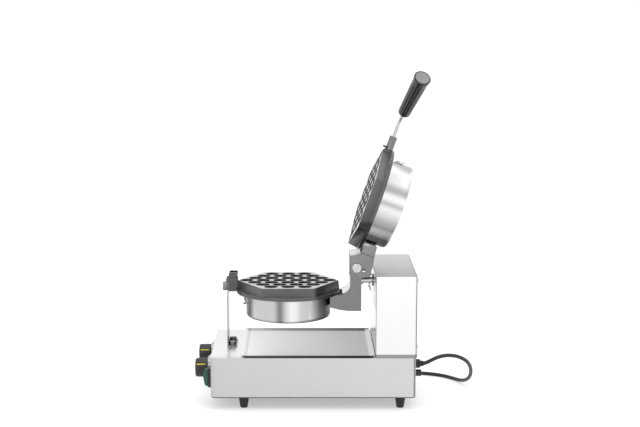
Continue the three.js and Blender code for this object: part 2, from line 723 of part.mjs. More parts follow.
// Hinge pin: slotted cheese head on the right, plain end for its nut on the left.
function hingePin() {
  const head = join(
    bar(PIN_RADIUS, [-HINGE_FACE - 10, 0, 0], [HINGE_FACE + 1, 0, 0], 20),
    bar(9.3, [HINGE_FACE, 0, 0], [HINGE_FACE + 4.4, 0, 0], 28),
  );
  const slot = block(HINGE_FACE + 2.6, HINGE_FACE + 6, -0.9, 0.9, -12, 12).rotateX(rad(-30));
  return cut(head, slot);
}

function hingeNut() {
  const face = -HINGE_FACE;
  return cut(
    bar(9.2, [face - 7, 0, 0], [face, 0, 0], 6),
    bar(PIN_RADIUS + GAP, [face - 8, 0, 0], [face + 1, 0, 0], 20),
  );
}

// Boss on the lid's lug, with a slot in its underside and right side for the lock pin's quarter turn.
function handleBoss() {
  const tube = turned([
    [ROD_RADIUS + GAP, BOSS_FRONT], [BOSS_RADIUS - 1, BOSS_FRONT], [BOSS_RADIUS, BOSS_FRONT + 1],
    [BOSS_RADIUS, LUG_FRONT - GAP], [ROD_RADIUS + GAP, LUG_FRONT - GAP], [ROD_RADIUS + GAP, BOSS_FRONT],
  ], 24);
  const slot = [[-2.3, 2], [-2.3, -20], [18.5, -8], [1.15, 2]];
  return cut(tube, frontPlate(slot, 40.7, 45.3)).translate(0, 0, BOSS_DEPTH);
}

function gripDirection() {
  const turn = rad(HANDLE_ANGLE);
  const rise = rad(HANDLE_RISE);
  const level = Math.cos(rise);
  return new THREE.Vector3(Math.sin(turn) * level, -Math.cos(turn) * level, Math.sin(rise));
}

// Steel rod: straight through the boss, a smooth bend, then straight into the grip.
function handleRod() {
  const bend = new THREE.Vector3(0, HANDLE_BEND_Y, BOSS_DEPTH);
  const along = gripDirection();
  const curve = new THREE.CurvePath();
  const start = new THREE.Vector3(0, LUG_FRONT - 0.6, BOSS_DEPTH);
  const bendIn = new THREE.Vector3(0, HANDLE_BEND_Y + 14, BOSS_DEPTH);
  const bendOut = bend.clone().addScaledVector(along, 14);
  curve.add(new THREE.LineCurve3(start, bendIn));
  curve.add(new THREE.QuadraticBezierCurve3(bendIn, bend, bendOut));
  curve.add(new THREE.LineCurve3(bendOut, bend.clone().addScaledVector(along, GRIP_START + 40)));
  return tubeAlong(curve, ROD_RADIUS, 26, 10);
}

// Grip on its own axis: y is the distance from the bend.
function gripOnAxis(profile, sides) {
  const turn = new THREE.Quaternion().setFromUnitVectors(AXES.Y, gripDirection());
  return turned(profile, sides).applyQuaternion(turn).translate(0, HANDLE_BEND_Y, BOSS_DEPTH);
}

function handleGrip() {
  const a = GRIP_START;
  const b = GRIP_START + GRIP_LENGTH;
  return gripOnAxis([
    [0, a + 42], [ROD_RADIUS + GAP, a + 42], [ROD_RADIUS + GAP, a], [8.6, a], [11.8, a + 3], [12.5, a + 7],
    [15.4, b - 12], [16.6, b - 3], [16.6, b], [14.6, b], [14.6, b - 2], [0, b - 2],
  ], 20);
}

function gripEndCap() {
  const b = GRIP_START + GRIP_LENGTH;
  return gripOnAxis([[0, b - 2 + GAP], [14.3, b - 2 + GAP], [14.3, b], [13.4, b + 0.8], [0, b + 0.8]], 28);
}

// Lock pin standing on the rod, pointing at the joint plane while the lid is free.
function lockPin() {
  const top = BOSS_DEPTH - ROD_RADIUS - GAP;
  return bar(1.8, [0, 43, top], [0, 43, -1.3], 12);
}

// ---------------------------------------------------------------- assembly
const machine = new THREE.Group();

mesh('base_housing', baseHousing(), steel, machine);
mesh('bottom_plate', bottomPlate(), greySteel, machine);
for (const [side, x] of [['left', -106], ['right', 106]]) {
  for (const [end, y] of [['front', 64], ['rear', 371]]) {
    mesh(`foot_${end}_${side}`, foot(x, y), blackRubber, machine);
  }
}
mesh('drip_tray', dripTray(), brushed, machine);

mesh('tower_shell', towerShell(), steel, machine);
mesh('tower_back_cover', towerCover(), steel, machine);
COVER_SCREWS.forEach(([x, z], i) => mesh(`cover_screw_${i + 1}`, coverScrew(x, z), zinc, machine));
mesh('shaft_front_bushing', frontBushing(), bronze, machine);
mesh('shaft_rear_bushing', rearBushing(), bronze, machine);
mesh('bearing_bracket', bearingBracket(), greySteel, machine);

mesh('support_bracket', supportBracket(), steel, machine);
mesh('support_bolt_left', supportBolt(-BOLT_X), zinc, machine);
mesh('support_bolt_right', supportBolt(BOLT_X), zinc, machine);

mesh('timer_bezel', bezel(-KNOB_X), steel, machine);
mesh('thermostat_bezel', bezel(KNOB_X), steel, machine);
mesh('timer_body', controlBody(-KNOB_X, 22, 34), ceramic, machine);
mesh('thermostat_body', controlBody(KNOB_X, 20, 26), greyPlastic, machine);
mesh('timer_knob', knob(-KNOB_X), blackPlastic, machine);
mesh('thermostat_knob', knob(KNOB_X), blackPlastic, machine);
mesh('switch_frame', switchFrame(), blackPlastic, machine);
mesh('switch_rocker', switchRocker(), greenRubber, machine);
mesh('switch_boot', switchBoot(), greenRubber, machine);
mesh('heating_lamp', lamp(), amber, machine);

mesh('terminal_block', terminalBlock(), ceramic, machine);
mesh('strain_relief', strainRelief(), blackPlastic, machine);
mesh('fuse_holder', fuseHolder(), blackPlastic, machine);
mesh('fuse_cap', fuseCap(), blackPlastic, machine);
mesh('power_cord', cordRun(), blackRubber, machine);
mesh('cord_coil', cordCoil(), blackRubber, machine);
mesh('plug', plug(), blackRubber, machine);

// The turning unit hangs on the turning axis.
const turning = new THREE.Group();
turning.position.set(0, 0, AXIS_Z);
machine.add(turning);

// The lower plate, heater and clip are the upper ones turned over.
const lowerPlate = new THREE.Group();
lowerPlate.position.set(0, PLATE_Y, 0);
lowerPlate.rotation.y = Math.PI;
turning.add(lowerPlate);
mesh('lower_plate', castPlateGeometry(), castPlate, lowerPlate);
mesh('lower_heater_housing', heaterHousing(), brushed, lowerPlate);
mesh('lower_heating_element', heatingElement(), incoloy, lowerPlate);
mesh('lower_housing_clip', housingClip(), greySteel, lowerPlate);
mesh('lower_bracket', lowerBracket(), greySteel, turning);
mesh('turn_shaft', turnShaft(), zinc, turning);
mesh('split_pin', splitPin(), zinc, turning);
mesh('shaft_collar', shaftCollar(), zinc, turning);
mesh('front_journal', frontJournal(), greySteel, turning);
mesh('latch_fork', latchFork(), greySteel, turning);

const hinge = new THREE.Group();
hinge.position.set(0, HINGE_Y, HINGE_RISE);
turning.add(hinge);
mesh('hinge_pin', hingePin(), zinc, hinge);
mesh('hinge_nut', hingeNut(), zinc, hinge);

// The lid's pieces are drawn closed and stand open about the hinge pin.
const lid = new THREE.Group();
lid.position.set(0, HINGE_Y, HINGE_RISE);
lid.rotation.x = rad(-LID_OPEN);
turning.add(lid);
const closed = new THREE.Group();
closed.position.set(0, -HINGE_Y, -HINGE_RISE);
lid.add(closed);
const upperPlate = new THREE.Group();
upperPlate.position.set(0, PLATE_Y, 0);
closed.add(upperPlate);
mesh('upper_plate', castPlateGeometry(), castPlate, upperPlate);
mesh('upper_heater_housing', heaterHousing(), brushed, upperPlate);
mesh('upper_heating_element', heatingElement(), incoloy, upperPlate);
mesh('upper_housing_clip', housingClip(), greySteel, upperPlate);
mesh('upper_bracket', upperBracket(), greySteel, closed);
mesh('handle_boss', handleBoss(), greySteel, closed);
mesh('handle_rod', handleRod(), zinc, closed);
mesh('handle_grip', handleGrip(), blackPlastic, closed);
mesh('grip_end_cap', gripEndCap(), greyPlastic, closed);
mesh('lock_pin', lockPin(), blackPlastic, closed);

// The part's own origin is on the table under the middle of the machine, leaving out the cord and plug.
const onTheTable = ['power_cord', 'cord_coil', 'plug'];
const machineBox = new THREE.Box3();
machine.updateMatrixWorld(true);
machine.traverse((node) => {
  if (node.isMesh && !onTheTable.includes(node.name)) machineBox.expandByObject(node, true);
});
machine.position.y = -(machineBox.min.y + machineBox.max.y) / 2;
const part = new THREE.Group();
part.add(machine);

export default part;
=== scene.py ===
"""Looks of the turn-over bubble waffle maker.

A stainless base and tower carry two dark cast plates, of which the upper one is a lid with a flip handle.
Lengths below are in millimetres in the machine's own axes: x to the user's right, y back from the base's
front face, z up from the table. at() turns such a point into the scene's metres.
"""

import json
import math

import bmesh
import bpy
from mathutils import Matrix, Vector

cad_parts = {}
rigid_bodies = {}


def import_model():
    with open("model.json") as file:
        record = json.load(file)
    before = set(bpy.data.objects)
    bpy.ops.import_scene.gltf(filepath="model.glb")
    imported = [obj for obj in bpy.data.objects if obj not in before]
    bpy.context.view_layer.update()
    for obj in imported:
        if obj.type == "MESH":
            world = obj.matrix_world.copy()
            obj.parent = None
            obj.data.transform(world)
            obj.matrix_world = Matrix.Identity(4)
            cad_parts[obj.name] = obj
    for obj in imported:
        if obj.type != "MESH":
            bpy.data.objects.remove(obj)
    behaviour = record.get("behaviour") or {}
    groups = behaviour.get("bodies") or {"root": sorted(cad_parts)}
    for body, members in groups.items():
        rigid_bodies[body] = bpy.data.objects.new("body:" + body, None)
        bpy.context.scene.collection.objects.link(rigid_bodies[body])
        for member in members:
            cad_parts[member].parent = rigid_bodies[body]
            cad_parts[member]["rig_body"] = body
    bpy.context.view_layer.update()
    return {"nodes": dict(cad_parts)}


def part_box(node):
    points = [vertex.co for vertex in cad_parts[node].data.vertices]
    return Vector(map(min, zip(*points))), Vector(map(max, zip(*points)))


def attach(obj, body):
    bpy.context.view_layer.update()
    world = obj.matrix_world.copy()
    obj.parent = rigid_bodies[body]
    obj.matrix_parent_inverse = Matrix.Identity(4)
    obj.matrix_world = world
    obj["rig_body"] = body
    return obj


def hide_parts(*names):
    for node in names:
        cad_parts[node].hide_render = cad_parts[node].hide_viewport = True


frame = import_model()

MM = 0.001
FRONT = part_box("base_housing")[0].y          # the base's front face in the scene, in metres

# Driving sizes, in millimetres
AXIS_Z = 234.0
PLATE_Y = 150.5
HINGE = (0.0, 287.0, 265.0)
LID_OPEN = 109.8
FACE_GAP = 0.4
HEX_APOTHEM = 88.0
WALL_DRAFT = 2.0
WALL_DEPTH = 17.5
FLANGE_DEPTH = 24.0
FLANGE_RADIUS = 104.0
CAVITY_PITCH = 33.3
ROW_PITCH = 22.8
CAVITY_RADIUS = 13.7
CAVITY_DEPTH = 12.5
HOUSING_RADIUS = 85.0
HOUSING_DEPTH = 72.5
CUP_CORNER = (0.079, 0.083)                   # radii where a cup's end face turns into its wall, in metres
BOSS_DEPTH = 12.5
HANDLE_BEND_Y = -11.0
HANDLE_ANGLE = 45.0
HANDLE_RISE = 1.4
GRIP_START = 30.6
GRIP_LENGTH = 113.0
KNOB_X = 60.0
KNOB_Z = 68.5
KNOB_RADIUS = 19.0
POINTER_TURN = 57.0
LAMP_Z = 82.0
FUSE = (60.0, 57.5)
PLUG_CENTRE = (-192.0, 258.0, 18.6)
CORD_RADIUS = 3.8
COIL_CENTRE = (-192.0, 330.0)
CORD_LENGTH = 1.5                             # metres
CORD_EXIT = (60.0, 411.0, 76.4)
COIL_START = (-147.6, 359.6)                  # where the run along the table joins the coil
COIL_RADIUS = 45.9


# -------- places
def at(x, y, z):
    """A point of the machine, in the scene's metres."""
    return Vector((x * MM, FRONT + y * MM, z * MM))


def machine_matrix():
    """Millimetres of the machine to the scene's metres."""
    return Matrix.Translation(at(0, 0, 0)) @ Matrix.Scale(MM, 4)


def turning_matrix():
    """Millimetres about the turning axis (z = 0 on the joint plane)."""
    return machine_matrix() @ Matrix.Translation((0, 0, AXIS_Z))


def lid_matrix():
    """The same, for a piece drawn with the lid closed: it stands open about the hinge pin."""
    pin = Vector(HINGE) - Vector((0, 0, AXIS_Z))
    swing = Matrix.Rotation(math.radians(-LID_OPEN), 4, "X")
    return turning_matrix() @ Matrix.Translation(pin) @ swing @ Matrix.Translation(-pin)


def lower_half():
    """Upper-half drawings turned over onto the lower half."""
    return turning_matrix() @ Matrix.Translation((0, PLATE_Y, 0)) @ Matrix.Rotation(math.pi, 4, "Y")


def upper_half():
    """Upper-half drawings on the open lid."""
    return lid_matrix() @ Matrix.Translation((0, PLATE_Y, 0))


# -------- camera
def make_camera():
    """A long lens from the user's right, a little above the plates."""
    data = bpy.data.cameras.new("camera")
    data.lens = 85.25
    data.sensor_width = 36.0
    data.shift_x = 0.0289
    data.clip_end = 50
    camera = bpy.data.objects.new("camera", data)
    camera.location = at(2998.8, 177.2, 818.6)
    camera.rotation_euler = (math.radians(90 - 8.526), 0, math.radians(90))
    bpy.context.scene.collection.objects.link(camera)
    bpy.context.scene.camera = camera


make_camera()


# -------- node materials
def shader(name, color, roughness, metallic=0.0, coat=0.0, coat_roughness=0.1):
    """A material with its plain values set on the shader's own sockets."""
    material = bpy.data.materials.new(name)
    material.use_nodes = True
    bsdf = material.node_tree.nodes["Principled BSDF"]
    bsdf.inputs["Base Color"].default_value = (*color, 1)
    bsdf.inputs["Roughness"].default_value = roughness
    bsdf.inputs["Metallic"].default_value = metallic
    bsdf.inputs["IOR"].default_value = 1.5
    bsdf.inputs["Coat Weight"].default_value = coat
    bsdf.inputs["Coat Roughness"].default_value = coat_roughness
    return material, bsdf


def grey(tone):
    """A grey number as a colour with alpha; a colour keeps its own three values."""
    color = (tone, tone, tone) if isinstance(tone, (int, float)) else tone
    return (*color, 1)


class Nodes:
    """Short calls for the node trees below."""

    def __init__(self, material, bsdf):
        self.tree = material.node_tree
        self.bsdf = bsdf
        self.place = self.add("ShaderNodeTexCoord").outputs["Object"]

    def add(self, kind, **settings):
        """A new node with its own settings."""
        node = self.tree.nodes.new(kind)
        for key, value in settings.items():
            setattr(node, key, value)
        return node

    def link(self, source, target):
        """Source feeds target: another socket, or a fixed grey or colour."""
        if isinstance(source, (int, float, tuple)):
            target.default_value = grey(source)
        else:
            self.tree.links.new(source, target)

    def stretched(self, vector, scale):
        """A vector scaled along its own axes."""
        mapping = self.add("ShaderNodeMapping")
        self.link(vector, mapping.inputs["Vector"])
        mapping.inputs["Scale"].default_value = scale
        return mapping.outputs["Vector"]

    def split(self, vector):
        """The x, y and z of a vector."""
        node = self.add("ShaderNodeSeparateXYZ")
        self.link(vector, node.inputs["Vector"])
        return node.outputs["X"], node.outputs["Y"], node.outputs["Z"]

    def flat(self, x, y):
        """A vector of x and y, with z = 0."""
        node = self.add("ShaderNodeCombineXYZ")
        self.link(x, node.inputs["X"])
        self.link(y, node.inputs["Y"])
        return node.outputs["Vector"]

    def measured_in(self, matrix):
        """The x, y and z of a place, in metres along the axes of matrix."""
        turn = self.add("ShaderNodeMapping", vector_type="TEXTURE")
        location, rotation, _ = matrix.decompose()
        turn.inputs["Location"].default_value = location
        turn.inputs["Rotation"].default_value = rotation.to_euler()
        self.link(self.place, turn.inputs["Vector"])
        return self.split(turn.outputs["Vector"])

    def noise(self, vector, scale, detail, roughness=0.55):
        """A grey noise over vector."""
        noise = self.add("ShaderNodeTexNoise")
        self.link(vector, noise.inputs["Vector"])
        noise.inputs["Scale"].default_value = scale
        noise.inputs["Detail"].default_value = detail
        noise.inputs["Roughness"].default_value = roughness
        return noise.outputs["Fac"]

    def span(self, value, low, high, start=0.3, end=0.7):
        """A value from start..end, moved to low..high."""
        node = self.add("ShaderNodeMapRange")
        self.link(value, node.inputs["Value"])
        node.inputs["From Min"].default_value = start
        node.inputs["From Max"].default_value = end
        node.inputs["To Min"].default_value = low
        node.inputs["To Max"].default_value = high
        return node.outputs["Result"]

    def ramp(self, value, stops):
        """A colour ramp from (position, grey or colour) stops."""
        node = self.add("ShaderNodeValToRGB")
        self.link(value, node.inputs["Fac"])
        elements = node.color_ramp.elements
        while len(elements) < len(stops):
            elements.new(0.5)
        for element, (position, tone) in zip(elements, stops):
            element.position = position
            element.color = grey(tone)
        return node.outputs["Color"]

    def tinted(self, color, shade):
        """A colour times a grey shade."""
        mix = self.add("ShaderNodeMix", data_type="RGBA", blend_type="MULTIPLY")
        mix.inputs["Factor"].default_value = 1
        self.link(color, mix.inputs["A"])
        self.link(shade, mix.inputs["B"])
        return mix.outputs["Result"]

    def mixed(self, share, first, second):
        """From the first colour to the second, as share goes from 0 to 1."""
        mix = self.add("ShaderNodeMix", data_type="RGBA")
        self.link(share, mix.inputs["Factor"])
        self.link(first, mix.inputs["A"])
        self.link(second, mix.inputs["B"])
        return mix.outputs["Result"]

    def clouded(self, value, low):
        """A soft grey shade from low to white, over the middle of a noise."""
        return self.ramp(value, [(0.3, low), (0.7, 1.0)])

    def bump(self, height, strength, distance):
        """Height as fine relief on the shader's normal, distance in metres."""
        node = self.add("ShaderNodeBump")
        node.inputs["Strength"].default_value = strength
        node.inputs["Distance"].default_value = distance
        self.link(height, node.inputs["Height"])
        self.link(node.outputs["Normal"], self.bsdf.inputs["Normal"])

    def color(self, value):
        """The shader's colour."""
        self.link(value, self.bsdf.inputs["Base Color"])

    def roughness(self, value):
        """The shader's roughness."""
        self.link(value, self.bsdf.inputs["Roughness"])


def sheet_steel(name, color, roughness, grain, shade=None):
    """Stainless sheet with a fine directional grain and a few soft marks; shade(nodes) tones it further with
    painted light and shade.
    """
    material, bsdf = shader(name, color, roughness, 1.0)
    nodes = Nodes(material, bsdf)
    lines = nodes.noise(nodes.stretched(nodes.place, grain), 1.0, 3)
    clouds = nodes.noise(nodes.place, 9, 3)
    base = nodes.tinted(color, nodes.tinted(nodes.clouded(lines, 0.99), nodes.clouded(clouds, 0.97)))
    if shade:
        base = nodes.tinted(base, shade(nodes))
    nodes.color(base)
    nodes.roughness(nodes.span(lines, roughness * 0.9, roughness * 1.1))
    nodes.bump(lines, 0.008, 0.0001)
    return material


def along(nodes, axis, start, end, stops):
    """A grey ramp along a machine axis (0, 1, 2), from start to end millimetres."""
    low = at(start, start, start)[axis]
    high = at(end, end, end)[axis]
    share = nodes.span(nodes.split(nodes.place)[axis], 0, 1, low, high)
    return nodes.ramp(share, stops)


def faces_up(nodes, top, side):
    """Painted light and shade by facing: the top tone where the surface faces up, the side tone elsewhere."""
    geometry = nodes.add("ShaderNodeNewGeometry")
    slope = nodes.split(geometry.outputs["Normal"])[2]
    return nodes.mixed(nodes.span(slope, 0, 1, 0.5, 0.9), side, top)


def base_steel():
    """Pale satin side with painted shade, a little lighter to the rear and with painted shadow at its dark
    folded edges; painted light makes the top brighter.
    """
    def shade(nodes):
        # Painted shade on the side: dark shadow bands at the front and rear folded edges, and a gradient a
        # little lighter to the rear.
        side = along(nodes, 1, 0, 400,
                     [(0.0, 0.6), (0.0015, 0.6), (0.0025, 0.3), (0.006, 0.5), (0.03, 0.53), (0.75, 0.58),
                      (0.989, 0.58), (0.992, 0.2), (0.997, 0.2), (0.999, 0.6)])
        # Painted light on the top: brighter than the side, lighter to the right and darker at its right edge.
        top = along(nodes, 0, -125, 125, [(0.0, 0.8), (0.9, 0.88), (0.99, 0.7)])
        return faces_up(nodes, top, side)

    return sheet_steel("base_stainless", (0.98, 0.98, 0.985), 0.26, (4, 4, 700), shade)


def tower_steel():
    """Bright side with a painted shadow line in the seam above the base, a painted shadow line by its front
    edge and painted shade on a grey rear edge; the top darkens to the right as a painted reflection.
    """
    def shade(nodes):
        # Painted shadow in the seam above the base, lightening upwards.
        painted_seam_shadow = along(nodes, 2, 109, 265, [(0.0, 0.3), (0.006, 0.4), (0.012, 0.83), (0.5, 0.86), (1.0, 0.93)])
        # Painted shade: a dark line by the front edge and a grey rear edge.
        edge = along(nodes, 1, 320, 400,
                     [(0.0, 0.95), (0.02, 0.95), (0.024, 0.35), (0.032, 0.4), (0.036, 0.97), (0.94, 1.0),
                      (0.985, 0.92), (1.0, 0.6)])
        # Painted reflection on the top, darker to the right.
        top = along(nodes, 0, -125, 125, [(0.0, 0.52), (0.55, 0.43), (0.97, 0.29), (1.0, 0.17)])
        return faces_up(nodes, top, nodes.tinted(painted_seam_shadow, edge))

    return sheet_steel("tower_stainless", (0.96, 0.96, 0.965), 0.26, (4, 4, 700), shade)


def tray_steel():
    """Mirror-like sheet with a painted reflection that darkens to the rear, and a painted shadow line along
    its near lip.
    """
    def shade(nodes):
        # Painted reflection along the length, darker to the rear, with painted shade lines near the front and
        # rear edges.
        length = along(nodes, 1, 60, 320,
                       [(0.0, 1.0), (0.035, 0.62), (0.045, 0.88), (0.35, 0.62), (0.8, 0.35), (0.955, 0.31),
                        (0.965, 0.6), (1.0, 0.55)])
        # Painted shadow under the near lip at the right end, and a painted reflection a little lighter
        # towards it.
        across = along(nodes, 0, -125, 125, [(0.0, 0.86), (0.9, 1.0), (0.975, 1.0), (0.982, 0.1), (1.0, 0.1)])
        return nodes.tinted(length, across)

    return sheet_steel("tray_stainless", (0.94, 0.94, 0.94), 0.2, (5, 700, 5), shade)


def spun_steel(name, bands, axis_matrix):
    """Brushed cup: fine streaks along its wall, painted reflection bands of tone round it, and an even end
    face.
    """
    material, bsdf = shader(name, (0.5, 0.5, 0.5), 0.36, 1.0)
    nodes = Nodes(material, bsdf)
    x, y, z = nodes.measured_in(axis_matrix)
    angle = nodes.add("ShaderNodeMath", operation="ARCTAN2")
    nodes.link(y, angle.inputs[0])
    nodes.link(x, angle.inputs[1])
    angle = angle.outputs[0]
    radius = nodes.add("ShaderNodeVectorMath", operation="LENGTH")
    nodes.link(nodes.flat(x, y), radius.inputs[0])
    fine = nodes.noise(nodes.stretched(nodes.flat(angle, z), (42, 5, 1)), 1.0, 5, 0.7)
    on_wall = nodes.span(radius.outputs["Value"], 0, 1, *CUP_CORNER)
    # Painted reflection: bands of tone round the wall.
    painted_reflection_round = nodes.ramp(nodes.span(angle, 0, 1, -math.pi, math.pi), bands)
    shade = nodes.mixed(on_wall, (0.6, 0.6, 0.6), painted_reflection_round)
    tone = nodes.tinted(nodes.ramp(fine, [(0.25, 0.88), (0.75, 1.0)]), shade)
    nodes.color(nodes.tinted((0.95, 0.95, 0.95), tone))
    nodes.roughness(nodes.span(fine, 0.3, 0.44))
    nodes.bump(fine, 0.05, 0.0002)
    return material


def worn(nodes, blotch, scratch_tone):
    """Blotches, scratches, and the grey shade of both; the two numbers are their darkest tones."""
    blotches = nodes.noise(nodes.place, 45, 5)
    scratches = nodes.noise(nodes.stretched(nodes.place, (60, 900, 300)), 1.0, 3)
    marks = nodes.ramp(scratches, [(0.3, scratch_tone), (0.6, 1.0)])
    return blotches, scratches, nodes.tinted(nodes.clouded(blotches, blotch), marks)


def plain_steel(name, color, roughness):
    """Machined and welded steel: blotchy, lightly scratched."""
    material, bsdf = shader(name, color, roughness, 1.0)
    nodes = Nodes(material, bsdf)
    blotches, scratches, tone = worn(nodes, 0.78, 0.88)
    nodes.color(nodes.tinted(color, tone))
    nodes.roughness(nodes.span(blotches, roughness * 0.8, roughness * 1.3))
    nodes.bump(scratches, 0.06, 0.0002)
    return material


def bracket_steel(name, stops):
    """Grey welded bracket: cheeks toned by height from 255 to 345 as painted light and shade, and a pale web
    between them: a painted reflection on its satin steel.
    """
    material, bsdf = shader(name, (0.3, 0.3, 0.3), 0.34, 1.0)
    nodes = Nodes(material, bsdf)
    blotches, scratches, tone = worn(nodes, 0.85, 0.9)
    # Painted reflection: the web between the cheeks is pale.
    on_web = along(nodes, 0, -34, 34, [(0.0, 0), (0.08, 0), (0.12, 1), (0.88, 1), (0.92, 0), (1.0, 0)])
    surface = nodes.mixed(on_web, along(nodes, 2, 255, 345, stops), (0.88, 0.88, 0.88))
    nodes.color(nodes.tinted(surface, tone))
    nodes.roughness(nodes.span(blotches, 0.3, 0.42))
    nodes.bump(scratches, 0.06, 0.0002)
    return material


def nonstick(name, matrix, axis, start, end, stops):
    """Cast plate under a dark non-stick coat: pale lands, partly worn and partly painted reflection, between
    bowls painted black as shade, and a charcoal wall.

    The wall's tone runs from start to end along a machine axis, as painted shade across the facets.
    """
    material, bsdf = shader(name, (0.03, 0.03, 0.03), 0.38, 0.0, coat=0.45, coat_roughness=0.14)
    bsdf.inputs["Specular IOR Level"].default_value = 0.2
    nodes = Nodes(material, bsdf)
    depth = nodes.measured_in(matrix)[2]
    # The lands at the face are pale: partly wear, partly painted reflection.
    on_land = nodes.span(depth, 1, 0, (FACE_GAP + 0.15) * MM, (FACE_GAP + 0.5) * MM)
    skin = nodes.noise(nodes.place, 900, 3)
    clouds = nodes.noise(nodes.place, 30, 4)
    wall = nodes.tinted(along(nodes, axis, start, end, stops), nodes.clouded(clouds, 0.75))
    # Painted shade: the bowls are near-black.
    painted_bowl_shade = nodes.add("ShaderNodeAttribute", attribute_name="bowl").outputs["Fac"]
    nodes.color(nodes.mixed(on_land, nodes.mixed(painted_bowl_shade, wall, (0.004, 0.004, 0.004)), (0.4, 0.4, 0.4)))
    nodes.roughness(nodes.span(clouds, 0.32, 0.44))
    nodes.bump(skin, 0.06, 0.0003)
    return material


def plastic(name, color, roughness, scale=700, bump=0.05):
    """Moulded plastic or rubber with a fine skin."""
    material, bsdf = shader(name, color, roughness)
    nodes = Nodes(material, bsdf)
    skin = nodes.noise(nodes.place, scale, 3)
    clouds = nodes.noise(nodes.place, 25, 3)
    nodes.color(nodes.tinted(color, nodes.clouded(clouds, 0.85)))
    nodes.roughness(nodes.span(clouds, roughness * 0.88, min(1, roughness * 1.15)))
    nodes.bump(skin, bump, 0.0003)
    return material


def clear_plastic(name, color, roughness, alpha):
    """Tinted see-through plastic."""
    material, bsdf = shader(name, color, roughness)
    nodes = Nodes(material, bsdf)
    bsdf.inputs["Alpha"].default_value = alpha
    bsdf.inputs["Transmission Weight"].default_value = 0.3
    clouds = nodes.noise(nodes.place, 60, 2)
    nodes.color(nodes.tinted(color, nodes.clouded(clouds, 0.8)))
    nodes.roughness(nodes.span(clouds, roughness * 0.8, roughness * 1.4))
    return material


# Painted reflection tones round each heater cup, as (share of a full turn, grey)
LOWER_CUP_REFLECTIONS = [
    (0.0, 0.25), (0.28, 0.35), (0.318, 0.42), (0.34, 0.95), (0.37, 0.6), (0.447, 0.58), (0.466, 0.24),
    (0.474, 0.24), (0.495, 0.66), (0.513, 0.88), (0.53, 0.84), (0.55, 0.62), (0.575, 0.62), (0.588, 0.8),
    (0.615, 0.7), (0.632, 0.48), (0.66, 0.2), (0.72, 0.1), (1.0, 0.25),
]
UPPER_CUP_REFLECTIONS = [
    (0.0, 0.3), (0.25, 0.5), (0.3, 0.55), (0.33, 0.8), (0.395, 0.85), (0.42, 0.5), (0.432, 0.52),
    (0.45, 1.0), (0.462, 1.0), (0.48, 0.55), (0.5, 0.9), (0.52, 0.72), (0.55, 0.45), (0.575, 0.4),
    (0.6, 0.9), (0.62, 0.9), (0.635, 0.5), (0.7, 0.2), (1.0, 0.3),
]

MATERIALS = {
    "base": base_steel(),
    "tower": tower_steel(),
    "tray": tray_steel(),
    "fork": plain_steel("fork_steel", (0.11, 0.11, 0.11), 0.24),
    # The support plate: the stainless sheet darkened to 0.3 as painted shade.
    "edge_steel": sheet_steel("support_stainless", (0.3, 0.3, 0.3), 0.25, (4, 4, 700)),
    "lower_bracket": bracket_steel("lower_bracket_steel", [(0.0, 0.24), (1.0, 0.26)]),
    # The upper bracket's cheeks: a painted highlight at the bend and painted shade towards the top.
    "upper_bracket": bracket_steel("upper_bracket_steel",
                                   [(0.0, 0.26), (0.58, 0.3), (0.64, 0.6), (0.7, 0.14), (1.0, 0.07)]),
    "steel": plain_steel("grey_steel", (0.24, 0.24, 0.24), 0.36),
    "bright": plain_steel("bright_steel", (0.66, 0.66, 0.67), 0.2),
    "bronze": plain_steel("bearing_bronze", (0.3, 0.29, 0.27), 0.34),
    "element": plain_steel("element_sheath", (0.12, 0.1, 0.09), 0.5),
    "bottom": plain_steel("bottom_plate_steel", (0.1, 0.1, 0.1), 0.45),
    "black": plastic("black_plastic", (0.006, 0.006, 0.006), 0.3),
    "grip": plastic("grip_plastic", (0.006, 0.006, 0.006), 0.2, 500, 0.02),
    "rubber": plastic("foot_rubber", (0.012, 0.012, 0.012), 0.62, 500, 0.12),
    "cord": plastic("cord_jacket", (0.012, 0.012, 0.013), 0.4, 900, 0.06),
    "grey": plastic("grey_plastic", (0.25, 0.25, 0.25), 0.45),
    "ceramic": plastic("ceramic", (0.72, 0.69, 0.6), 0.5),
    "green": plastic("green_plastic", (0.01, 0.16, 0.08), 0.25),
    "boot": clear_plastic("clear_boot", (0.02, 0.12, 0.08), 0.16, 0.88),
    "amber": clear_plastic("amber_lens", (0.9, 0.35, 0.03), 0.1, 0.9),
    "yellow": plastic("pointer_paint", (0.6, 0.55, 0.04), 0.4),
    "print": plastic("dial_print", (0.02, 0.02, 0.02), 0.5),
    "lower_cup": spun_steel("lower_cup_steel", LOWER_CUP_REFLECTIONS,
                            turning_matrix() @ Matrix.Translation((0, PLATE_Y, 0))),
    "upper_cup": spun_steel("upper_cup_steel", UPPER_CUP_REFLECTIONS, upper_half()),
    # The wall stops are painted shade: the lower plate darkens to the rear, the upper one is near-black low
    # down.
    "lower_plate": nonstick("lower_casting", lower_half(), 1, 46, 262,
                            [(0.0, 0.06), (0.25, 0.1), (0.72, 0.105), (0.76, 0.02), (1.0, 0.012)]),
    "upper_plate": nonstick("upper_casting", upper_half(), 2, 280, 490,
                            [(0.0, 0.004), (0.39, 0.006), (0.43, 0.08), (0.6, 0.11), (1.0, 0.1)]),
}


